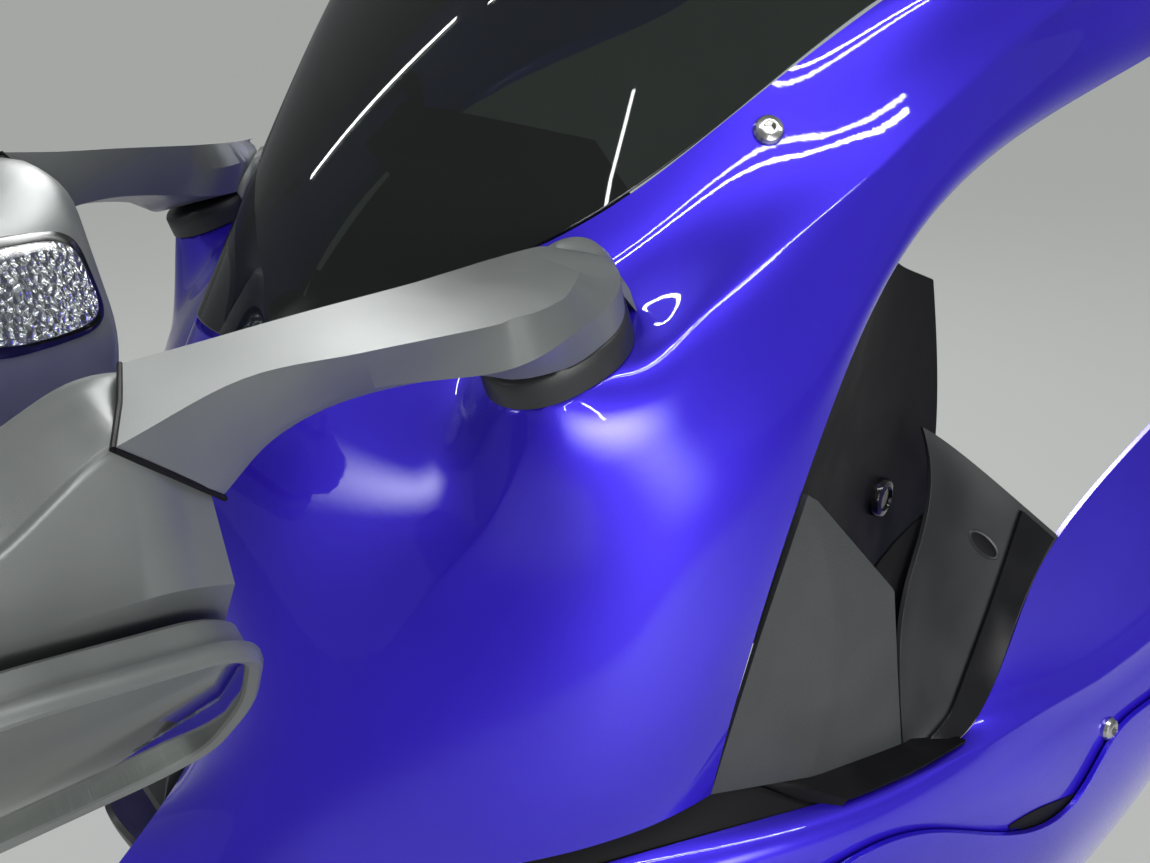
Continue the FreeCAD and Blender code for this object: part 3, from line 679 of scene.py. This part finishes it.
# Lower layer over the side cowl
def laid_on(net, spans, rows, cols, offset):
    """A grid of points above a sheet, between two edges given as (u, v, v)."""
    us, tops, lows = through_line(spans, evenly(rows)).T
    ku, kv = len(net), len(net[0])
    poles = np.array(net, float)
    grid = np.zeros((rows, cols, 3))
    normal = np.zeros((rows, cols, 3))
    d = 1e-3
    for i, (u, top, low) in enumerate(zip(us, tops, lows)):
        vs = np.linspace(top, low, cols)
        here = np.einsum("i,ijk->jk", basis(ku, np.array([u]))[0], poles)
        near = np.einsum("i,ijk->jk", basis(ku, np.array([min(1, u + d)]))[0], poles)
        bv = basis(kv, vs)
        grid[i] = bv @ here
        along = bv @ near - grid[i]
        across = basis(kv, np.minimum(vs + d, 1)) @ here - grid[i]
        normal[i] = np.cross(along, across)
    normal /= np.linalg.norm(normal, axis=2)[..., None]
    if normal[rows // 2, cols // 2, 1] < 0:
        normal = -normal
    return grid + normal * offset


pair("side_layer_skin", *shell_mesh(laid_on(SIDE_COWL, LAYER, 110, 40, layer_out), panel_t), PAINT,
     node="side_layer", slot="violet_paint", bevel=1.1, segments=3)


# Near-black strips, painted shade standing in the shaded gaps: under the hem, trim and recess, and behind
# the corner of trim and recess
strip_t = 1.5


def strip_between(name, highs, lows, dip):
    """A thin strip from one line of points to another, sagging by dip between them."""
    rows = []
    for high, low in zip(highs, lows):
        rows.append([tuple(high.lerp(low, k) - Vector(dip) * math.sin(math.pi * k))
                     for k in (0, 0.25, 0.5, 0.75, 1)])
    pair(name, *shell_mesh(np.array(rows), strip_t), SHADE_AND_JOINT_BLACK, slot="black_plastic", smooth=60.0)


def inward(net, u, v, depth, degree=3):
    """A point a depth under the sheet."""
    point, out = site(net, u, v, degree=degree)
    return point - out * depth


highs = [inward(COWL, u, 0.985, panel_t + 2) for u in np.linspace(0.42, 0.985, 34)]
highs += [inward(TRIM, 0.97, v, panel_t + 2, 1) for v in np.linspace(0.02, 0.97, 20)]
highs += [inward(RECESS, 0.97, v, panel_t + 2) for v in np.linspace(0.05, 0.99, 10)]
lows = [inward(SIDE_COWL, u, 0.09, panel_t + 1.5) for u in np.linspace(0.14, 0.565, len(highs))]
strip_between("gap_shade_strip", highs, lows, (0, 7, 0))


def by_height(points, heights):
    """The line through the points, taken at the given heights."""
    points = sorted([tuple(q) for q in points], key=lambda q: q[2])
    zs = [q[2] for q in points]
    return [Vector((np.interp(z, zs, [q[0] for q in points]), np.interp(z, zs, [q[1] for q in points]), z))
            for z in heights]


heights = np.linspace(-6, -103, 40)
trim_side = [inward(TRIM, u, 0.93, 5.0, 1) for u in evenly(60)]
recess_side = [inward(RECESS, u, 0.12, 5.0) for u in evenly(60)]
strip_between("corner_shade_strip", by_height(trim_side, heights), by_height(recess_side, heights), (0, 2, 0))


# Glossy rim round the outer edge of the recess
RIM = [(0.02, 0.80, 0.985), (0.25, 0.80, 0.985), (0.5, 0.79, 0.985), (0.75, 0.76, 0.985),
       (0.9, 0.70, 0.985), (0.985, 0.45, 0.985)]
rim_out, rim_t = 2.6, 2.4
pair("recess_rim", *shell_mesh(laid_on(RECESS, RIM, 90, 14, rim_out), rim_t), GLOSS,
     slot="black_plastic", bevel=1.1, segments=3)

# Windscreen
single("screen_skin", *panel(whole(SCREEN), screen_t, 110, 120, (0, 0, 0)), SMOKED, node="windscreen",
       slot="smoked_screen", bevel=0.9)


# Mirror arm
def hub_point(angle, height, radius):
    """A point round the hinge, at an angle from straight forward towards the left."""
    c, sn = math.cos(math.radians(angle)), math.sin(math.radians(angle))
    return hinge + lean * height + hinge_front * (radius * c) + hinge_left * (radius * sn)


def between(rows, per):
    """Rows of points with more rows put in between on smooth curves."""
    data = np.array([[tuple(p) for p in row] for row in rows], float)
    steps = np.linalg.norm(np.diff(data, axis=0), axis=2).mean(axis=1)
    knots = np.concatenate([[0], np.cumsum(np.sqrt(steps))])
    slope = np.gradient(data, knots, axis=0)
    out = []
    for i in range(len(data) - 1):
        span = knots[i + 1] - knots[i]
        for k in range(per if i < len(data) - 2 else per + 1):
            t = k / per
            a, b = 2 * t ** 3 - 3 * t ** 2 + 1, t ** 3 - 2 * t ** 2 + t
            c, d = -2 * t ** 3 + 3 * t ** 2, t ** 3 - t ** 2
            out.append(a * data[i] + b * span * slope[i] + c * data[i + 1] + d * span * slope[i + 1])
    return [[Vector(p) for p in row] for row in out]


# Round end of the arm, rear to front. Columns: far plateau, near plateau, then the angle round
# the hinge of the chamfer's foot and of the wall's foot on the near side, and on the far side
ARM_END = [
    ((166.4, 142, 161), (166.4, 146, 161), 178, 178, -178, -178),
    ((167.6, 138, 161), (167.8, 153, 161), 168, 166, -170, -168),
    ((170.5, 135.6, 161), (171, 160.5, 161), 155, 152, -160, -156),
    ((174.5, 134.6, 160.8), (175.2, 167, 160.8), 141, 138, -149, -144),
    ((179, 134.2, 160.6), (181, 173.6, 160.6), 127, 125, -137, -131),
    ((184.5, 134, 160.4), (188.2, 180, 160.4), 112, 112, -123, -118),
    ((190, 134.2, 160.2), (196, 186.5, 160.2), 97, 99, -108, -104),
]
ARM_JOIN = [
    ((197, 134.6, 160.1), (204, 191.8, 160.1), (201, 195.5, 148.6), (193, 187.6, 133.0),
     (187, 130.5, 136.4), (193, 131, 149)),
    ((206, 136, 160.1), (217, 195.6, 160.1), (215.5, 200.2, 147.0), (206, 186, 131.5), (205, 138, 133.0),
     (202, 133, 148)),
    ((220, 139, 160.5), (228, 196.4, 160.5), (226, 199, 144.4), (220, 184, 132.5), (220, 146, 133.5),
     (217, 137, 147)),
]
chamfer_h = 13.5
near_r, far_r = 28.5, 28.0
near_share = 0.80
hub_end_x = 240
hub_bulge, arm_bulge = 9.0, 2.0
rows = []
for far_top, near_top, near_turn, near_foot, far_turn, far_foot in ARM_END:
    rows.append([Vector(far_top), Vector(near_top), hub_point(near_turn, chamfer_h, near_r),
                 hub_point(near_foot, hinge_gap / 2, hinge_r), hub_point(far_foot, hinge_gap / 2, hinge_r),
                 hub_point(far_turn, chamfer_h, far_r)])
rows += [[Vector(p) for p in row] for row in ARM_JOIN]
for far_top, near_top, near_low, far_low in ARM:
    far_top, near_top, near_low, far_low = map(Vector, (far_top, near_top, near_low, far_low))
    bulge = hub_bulge if far_top.x < hub_end_x else arm_bulge
    near_mid = near_top.lerp(near_low, near_share) + Vector((0, bulge, 0))
    far_mid = far_top.lerp(far_low, 0.5) - Vector((0, 2, 0))
    rows.append([far_top, near_top, near_mid, near_low, far_low, far_mid])
pair("mirror_arm_body", *loft(between(rows, 7)), GREY, body="mirror", node="mirror_arm", slot="mirror_grey",
     smooth=24.0, bevel=0.9, segments=3)


# Mirror head
def on_glass(along, up, out=0.0):
    return glass_foot + glass_along * along + glass_up * up + glass_n * out


def cut_flat(verts, faces, point, normal):
    """The mesh without what lies beyond a plane, closed along the cut."""
    bm = bmesh.new()
    corners = [bm.verts.new(v) for v in verts]
    for f in faces:
        bm.faces.new([corners[k] for k in f])
    found = bmesh.ops.bisect_plane(bm, geom=bm.verts[:] + bm.edges[:] + bm.faces[:], plane_co=point,
                                   plane_no=normal, clear_outer=True)
    rim = [e for e in found["geom_cut"] if isinstance(e, bmesh.types.BMEdge)]
    bmesh.ops.contextual_create(bm, geom=rim)
    bm.verts.index_update()
    out = [v.co.copy() for v in bm.verts], [[v.index for v in f.verts] for f in bm.faces]
    bm.free()
    return out


def softened(ring, radii, steps=4, share=0.46):
    """A closed ring with each corner turned into an arc of its own size, up to a share of its sides."""
    out = []
    for k, p in enumerate(ring):
        a, b = ring[k - 1] - p, ring[(k + 1) % len(ring)] - p
        cut = min(radii[k], a.length * share, b.length * share)
        start, stop = p + a.normalized() * cut, p + b.normalized() * cut
        for t in evenly(steps + 1):
            out.append(start * (1 - t) ** 2 + p * (2 * t * (1 - t)) + stop * t ** 2)
    return out


# Corner sizes of the head's section: foot, lip, crease, ridge, back, heel
HEAD_CORNERS = (9, 3, 3, 20, 24, 14)
rows = between([[Vector((x, y, z)) for y, z in ring] for x, *ring in HEAD], 9)
ends = rows[-1]
middle = sum(ends, Vector()) / len(ends)
for out, shrink in ((2.2, 0.97), (4.2, 0.90), (5.4, 0.80)):
    rows.append([middle + (p - middle) * shrink + Vector((out, 0, 0)) for p in ends])
head = loft([softened(ring, HEAD_CORNERS) for ring in rows])
head = cut_flat(*head, on_glass(0, 0, -bezel_t - head_gap), Vector(glass_n))
pair("mirror_head_body", *head, GREY, body="mirror", node="mirror_shell", slot="mirror_grey", smooth=32.0,
     bevel=0.5)


def tube(points, radius):
    """A thin round bar along a line of points."""
    rings = []
    for k, p in enumerate(points):
        ahead = (points[min(k + 1, len(points) - 1)] - points[max(k - 1, 0)]).normalized()
        side = ahead.cross(Vector((0.2, 0.3, 1))).normalized()
        over = side.cross(ahead)
        rings.append([p + side * (radius * math.cos(t)) + over * (radius * math.sin(t)) for t in circle(8)])
    return loft(rings)


# Dark joint line between arm and head
joint = [Vector(p) for p in ((346, 166, 160), (347, 171.5, 168.6), (356, 197, 167.8), (366.4, 222.4, 167),
                             (358, 217.4, 158.4), (350, 212, 150), (342, 206.4, 141.4), (334, 200, 132.6),
                             (334, 186, 132.6))]
joint_r = 0.9
pair("mirror_joint_line", *tube(joint, joint_r), SHADE_AND_JOINT_BLACK, body="mirror", slot="mirror_grey")


def outline_rings(profile):
    """Rings of the rounded glass outline, one for each (grow, out) of a profile."""
    rings = []
    outline = softened([Vector(p) for p in GLASS], [glass_round] * len(GLASS), 6, 0.45)
    for grow, out in profile:
        ring = []
        for along, up in outline:
            da, du = along - glass_mid[0], up - glass_mid[1]
            k = 1.0 + grow / math.hypot(da, du)
            ring.append(on_glass(glass_mid[0] + da * k, glass_mid[1] + du * k, out))
        rings.append(ring)
    return rings


BEZEL = [(-6, -bezel_t), (bezel_rim - 4.5, -bezel_t), (bezel_rim - 3.2, -bezel_t + 1.2),
         (bezel_rim - 2.8, -5.0),
         (bezel_rim - 0.6, -4.5), (bezel_rim, -3.2), (bezel_rim - 0.3, -0.8), (bezel_rim - 1.4, 1.0),
         (bezel_rim - 2.6, rim_proud), (bezel_rim - 3.8, rim_proud - 0.4), (0.2, 0.2), (-0.2, -1.0)]
pair("mirror_bezel_ring", *loft(outline_rings(BEZEL)), GREY, body="mirror", node="mirror_bezel",
     slot="mirror_grey", smooth=35.0)
PLATE = [(-0.4, -2.8), (-0.4, -0.9), (-1.2, -0.5)]
pair("mirror_glass_plate", *loft(outline_rings(PLATE)), MIRROR, body="mirror", node="mirror_glass",
     slot="mirror_face", smooth=35.0)


# Mirror base: a cup under the hub with a pointed toe under the arm, standing on the cowl
def tree_of(objects):
    verts, faces = [], []
    for obj in objects:
        start = len(verts)
        verts += [v.co / MM for v in obj.data.vertices]
        faces += [[start + k for k in f.vertices] for f in obj.data.polygons]
    return BVHTree.FromPolygons(verts, faces)


cowl_tree = tree_of([bpy.data.objects["cowl_skin_left"]])


def base_outline(grow, count=90):
    """The base's outline round the hinge as (angle, radius)."""
    return [(360.0 * k / count, base_reach(360.0 * k / count) + grow) for k in range(count)]


cast_from = 60
cast_miss = 30


def on_cowl(point, above):
    """The cowl's surface below a point, or the nearest place towards the hinge where there is any."""
    inwards = hinge + lean * (point - hinge).dot(lean) - point
    for back in np.linspace(0, 0.6, 31):
        hit = cowl_tree.ray_cast(point + inwards * back + lean * cast_from, -lean)[0]
        if hit:
            return hit + lean * above
    return point - lean * cast_miss


toe_from, toe_slope = 31, 0.3
cup = []
for grow, height in ((-3.5, -0.15), (-0.8, -0.3), (0.0, -1.3), (0.5, -6.0)):
    cup.append([hub_point(a, height - max(0.0, (r - toe_from) * toe_slope), r)
                for a, r in base_outline(grow)])
cup.append([hub_point(a, -cup_drop, r) for a, r in base_outline(0.8)])
cup.append([hub_point(a, -cup_drop - 2.0, r) for a, r in base_outline(-1.5)])
for above in (-2.0, -6.0):
    cup.append([on_cowl(hub_point(a, 0, r), above) for a, r in base_outline(-4.0)])
pair("mirror_base_cup", *loft(cup), BLACK, node="mirror_base", slot="mirror_grey", smooth=50.0)

# Collar that stands on the cowl behind the hub and fills the corner to the screen
collar_at, collar_half, collar_h = 222, 55, 12.5
collar = []
for a, r in base_outline(0.4, 240):
    turned = a - collar_at
    rise = max(0.0, math.cos(math.radians(turned * 1.6))) if abs(turned) < collar_half else 0.0
    if rise > 0.02:
        top = collar_h * rise ** 0.8
        collar.append([hub_point(a, -3.0, 30.0), hub_point(a, top, 30.0), hub_point(a, top + 0.6, 31.2),
                       hub_point(a, top - 0.6, max(32.5, r - 2.5)), hub_point(a, top - 4.0, max(33.5, r)),
                       on_cowl(hub_point(a, 0, max(34.5, r + 1.5)), -1.0)])
pair("mirror_base_collar", *loft(collar), GREY, slot="mirror_grey", smooth=35.0)


# Screws
def screw(name, at, out):
    """A round-headed hexagon socket screw seated at a point, its head along out."""
    side = out.orthogonal().normalized()
    up = out.cross(side)

    def ring(radius_at, height):
        return [at + side * (radius_at(a) * math.cos(a)) + up * (radius_at(a) * math.sin(a)) + out * height
                for a in circle(screw_sides)]

    def socket(a):
        sector = (a + math.pi / 6) % (math.pi / 3) - math.pi / 6
        return socket_r / math.cos(sector)

    rings = [ring(lambda a, share=share: screw_r * share, height) for share, height in
             ((1, 0.0), (1, 1.0), (0.86, 2.6), (0.62, 3.4), (0.44, 3.6))]
    rings += [ring(socket, depth) for depth in (3.5, 1.4)]
    return pair(name, *loft(rings), STEEL, smooth=30.0)


# Turn signal lens on the inboard face of the head
patch_square = 0.55
patch_cast = 50


def patch_rings(place, along, across, long, high, onto, profile):
    """Rings of a rounded patch laid on a surface, seen along place - out."""
    out = along.cross(across).normalized()
    rings = []
    for scale, above in profile:
        ring = []
        for a in circle(44):
            c, d = math.cos(a), math.sin(a)
            s = abs(c) ** patch_square * math.copysign(1, c) * long * scale
            t = abs(d) ** patch_square * math.copysign(1, d) * high * scale
            start = place + along * s + across * t + out * patch_cast
            hit = onto.ray_cast(start, -out)[0]
            ring.append((hit or start - out * patch_cast) + out * above)
        rings.append(ring)
    return rings


DOME = [(1.0, -0.8), (1.0, 0.9), (0.96, 1.7), (0.85, 2.3), (0.6, 2.7), (0.3, 2.9), (0.06, 2.9)]
LAMP_RING = [(1.0, -0.5), (1.0, 0.6), (0.93, 1.1), (0.84, 0.7), (0.8, 0.1)]
head_tree = tree_of([bpy.data.objects["mirror_head_body_left"]])
low_box, high_box = [Vector(c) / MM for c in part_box("turn_signal_left")]
lens_mid = (low_box + high_box) / 2
lens_mid.y = low_box.y
lens_up = Vector((0, -0.15, 1)).normalized()
SIGNAL = [
    # name, material, replaced node, profile as (scale, height)
    ("turn_signal_frame", GLOSS, None, [(1.0, -0.8), (1.0, 0.8), (0.95, 1.4), (0.80, 1.4), (0.06, 1.4)]),
    ("turn_signal_reflector", CRYSTAL, None, [(0.80, 1.0), (0.80, 1.7), (0.5, 1.6), (0.06, 1.6)]),
    ("turn_signal_lens", CLEAR, "turn_signal",
     [(0.82, 1.2), (0.82, 2.6), (0.78, 3.4), (0.6, 4.0), (0.3, 4.3), (0.06, 4.3)]),
]
signal_long, signal_high = 48, 22
for name, material, node, profile in SIGNAL:
    patch = patch_rings(lens_mid, Vector((1, 0, 0)), lens_up, signal_long, signal_high, head_tree, profile)
    pair(name, *loft(patch), material, body="mirror", node=node, slot="clear_lens")

# Headlight projectors behind the lens strip
lens_tree = tree_of([frame["nodes"]["headlight_lens_left"]])
from_hem = Vector((-4, 0, -13))
lamp_stretch = 1.3
for k, u in enumerate((0.10, 0.155, 0.21)):
    hem, out = site(COWL, u, 0.999)
    out = Vector((out.x, out.y, 0.1)).normalized()
    along = out.cross(Vector((0, 0, 1))).normalized()
    spot = hem + from_hem
    for name, size, material, profile in (("headlight_ring", 7.6, CHROME, LAMP_RING),
                                          ("headlight_eye", 6.0, DISPLAY, DOME)):
        patch = patch_rings(spot, -along, out.cross(-along), size * lamp_stretch, size, lens_tree, profile)
        pair("%s_%d" % (name, k), *loft(patch), material, slot="clear_lens")

# Vent above the lower layer, slot and cap in the recess
VENT = [(0.590, 0.636, 0.650), (0.615, 0.636, 0.675), (0.645, 0.642, 0.72), (0.675, 0.655, 0.745),
        (0.700, 0.668, 0.735), (0.722, 0.680, 0.690)]
vent_out, vent_t = 0.7, 0.6
# The vent is a near-black sheet laid on the side cowl: painted shade for its opening.
pair("side_vent", *shell_mesh(laid_on(SIDE_COWL, VENT, 40, 12, vent_out), vent_t), SHADE_AND_JOINT_BLACK,
     slot="black_plastic")


def oval(name, net, u, v, long, high, material, profile):
    point, out = site(net, u, v)
    ahead = site(net, u, v + 0.02)[0] - point
    along = (ahead - out * ahead.dot(out)).normalized()
    rings = []
    for scale, above in profile:
        rings.append([point + along * (long * scale * math.cos(t))
                      + out.cross(along) * (high * scale * math.sin(t)) + out * above for t in circle(36)])
    pair(name, *loft(rings), material, slot="black_plastic")


# The slot's fill is near-black: painted shade for the inside of the slot. Its rim is the plain black
# plastic.
oval("recess_slot", RECESS, 0.21, 0.64, 9.5, 4.0, SHADE_AND_JOINT_BLACK, [(1.0, -0.5), (1.0, 0.5), (0.9, 0.8), (0.1, 0.8)])
oval("recess_slot_rim", RECESS, 0.21, 0.64, 11.0, 5.4, BLACK,
     [(1.0, -0.5), (1.0, 0.6), (0.94, 0.95), (0.86, 0.6)])
oval("inner_cap", INNER, 0.667, 0.657, 11.0, 11.0, GLOSS,
     [(1.0, -0.5), (1.0, 3.0), (0.9, 4.6), (0.62, 5.4), (0.56, 4.2), (0.1, 4.2)])

SCREWS = [
    # name, panel, u, v
    ("screen_screw", COWL, 0.775, 0.060),
    ("side_cowl_screw", SIDE_COWL, 0.12, 0.30),
    ("side_cowl_screw_rear", SIDE_COWL, 0.80, 0.55),
]
for name, net, u, v in SCREWS:
    point, out = site(net, u, v)
    screw(name, point, out)

# Camera at the photograph's place
eye = Vector((430, 480, 283)) * MM
yaw, pitch, roll = math.radians(38.7), math.radians(25.3), math.radians(-1.2)
ahead = Vector((-math.sin(yaw) * math.cos(pitch), -math.cos(yaw) * math.cos(pitch), -math.sin(pitch)))
level = Vector((-math.cos(yaw), math.sin(yaw), 0))
above = level.cross(ahead)
right = level * math.cos(roll) + above * math.sin(roll)
up = above * math.cos(roll) - level * math.sin(roll)
camera = bpy.data.cameras.new("camera")
sensor_wide, focal_px, picture_px = 36.0, 1110.0, 1150.0
camera.sensor_width = sensor_wide
camera.lens = sensor_wide * focal_px / picture_px
camera.clip_start = 0.01
view = bpy.data.objects.new("camera", camera)
view.matrix_world = Matrix(((right.x, up.x, -ahead.x, eye.x), (right.y, up.y, -ahead.y, eye.y),
                            (right.z, up.z, -ahead.z, eye.z), (0, 0, 0, 1)))
in_scene(view)
bpy.context.scene.camera = view

# Pale floor just under the lowest edge
floor_z = cad_box[0][2] - 0.001
floor_half = 40


def seen_rays(tree):
    """One where the camera sees the surface itself or through glass, else nought."""
    path = tree.nodes.new("ShaderNodeLightPath")
    total = combined(tree, "ADD", path.outputs["Is Camera Ray"], path.outputs["Is Transmission Ray"])
    total.use_clamp = True
    return total.outputs[0]


def shown(tree, factor, plain, seen, output):
    """One shader for the light and another, by the factor, for what the camera sees."""
    mixed = tree.nodes.new("ShaderNodeMixShader")
    tree.links.new(factor, mixed.inputs["Fac"])
    tree.links.new(plain.outputs[0], mixed.inputs[1])
    tree.links.new(seen.outputs[0], mixed.inputs[2])
    tree.links.new(mixed.outputs[0], tree.nodes[output].inputs["Surface"])


floor_mesh = bpy.data.meshes.new("floor")
corners = [(x * floor_half, y * floor_half, floor_z) for x, y in ((-1, -1), (1, -1), (1, 1), (-1, 1))]
floor_mesh.from_pydata(corners, [], [(0, 1, 2, 3)])
floor = bpy.data.objects.new("floor", floor_mesh)
in_scene(floor)
floor_mat, floor_tree, floor_shader = nodes_of("pale_floor")
grain = noise(floor_tree, 14.0, 5.0)
tone = blend_colour(floor_tree, grain.outputs["Fac"], (0.50, 0.50, 0.49), (0.53, 0.53, 0.52))
floor_tree.links.new(tone, floor_shader.inputs["Base Color"])
floor_shader.inputs["Roughness"].default_value = 0.7
glow = floor_tree.nodes.new("ShaderNodeEmission")
glow.inputs["Color"].default_value = (0.46, 0.48, 0.46, 1)
floor_glow = 0.75
share = combined(floor_tree, "MULTIPLY", seen_rays(floor_tree), floor_glow)
shown(floor_tree, share.outputs[0], floor_shader, glow, "Material Output")
floor_mesh.materials.append(floor_mat)

# World and lamps
world = bpy.data.worlds.new("studio")
world.use_nodes = True
bpy.context.scene.world = world
wt = world.node_tree
wt.nodes["Background"].inputs["Color"].default_value = (0.62, 0.64, 0.66, 1)
wt.nodes["Background"].inputs["Strength"].default_value = 0.27
seen = wt.nodes.new("ShaderNodeBackground")
seen.inputs["Color"].default_value = (0.40, 0.42, 0.40, 1)
shown(wt, seen_rays(wt), wt.nodes["Background"], seen, "World Output")


def soft_edge(light):
    """Brightness that falls off smoothly to the edges of a box."""
    light.use_nodes = True
    tree = light.node_tree
    where = tree.nodes.new("ShaderNodeNewGeometry")
    apart = tree.nodes.new("ShaderNodeSeparateXYZ")
    tree.links.new(where.outputs["Parametric"], apart.inputs[0])
    hills = []
    for axis in (0, 1):
        away = combined(tree, "PINGPONG", apart.outputs[axis], 0.5)
        hill = tree.nodes.new("ShaderNodeMapRange")
        hill.interpolation_type = "SMOOTHSTEP"
        hill.inputs["From Max"].default_value = 0.5
        tree.links.new(away.outputs[0], hill.inputs["Value"])
        hills.append(hill.outputs["Result"])
    both = combined(tree, "MULTIPLY", *hills)
    most = combined(tree, "MULTIPLY", both.outputs[0], 4.0)
    tree.links.new(most.outputs[0], tree.nodes["Emission"].inputs["Strength"])


LAMPS = [
    # name, one end, other end, width across, watts, soft edge
    ("ceiling_tube_left", (-0.76, 1.30, 1.17), (0.85, 0.26, 1.67), 0.03, 8.0, False),
    ("ceiling_tube_left_outer", (-0.80, 1.46, 1.22), (0.93, 0.38, 1.72), 0.03, 5.0, False),
    ("ceiling_tube_right", (-0.70, -1.00, 1.45), (0.95, -0.60, 1.60), 0.03, 8.0, False),
    ("ceiling_tube_front", (1.13, -1.25, 1.08), (0.90, -0.93, 1.56), 0.035, 2.5, False),
    ("upright_tube_left", (0.87, 1.51, 0.42), (0.65, 1.39, 1.00), 0.03, 1.5, False),
    ("upright_tube_rear", (0.46, 1.67, 0.31), (0.52, 1.58, 0.69), 0.03, 1.2, False),
    ("soft_box_behind", (-1.30, -0.45, 0.95), (-0.10, -1.35, 0.95), 0.9, 21.0, True),
    ("soft_box_near", (1.20, 1.40, 0.14), (-0.40, 1.95, 0.14), 0.8, 12.5, True),
    ("soft_box_front", (2.00, -0.60, 0.75), (2.00, 0.30, 0.75), 0.6, 3.0, True),
]
aim = Vector((0.1, 0.15, 0.05))
for name, one, other, width, watts, soft in LAMPS:
    one, other = Vector(one), Vector(other)
    light = bpy.data.lights.new(name, "AREA")
    light.shape, light.energy = "RECTANGLE", watts
    light.size, light.size_y = (other - one).length, width
    lamp = bpy.data.objects.new(name, light)
    place = (one + other) / 2
    x = (other - one).normalized()
    z = place - aim
    z = (z - x * z.dot(x)).normalized()
    lamp.matrix_world = Matrix.Translation(place) @ Matrix((x, z.cross(x), z)).transposed().to_4x4()
    in_scene(lamp)
    if soft:
        soft_edge(light)

bpy.context.scene.view_settings.view_transform = "Standard"
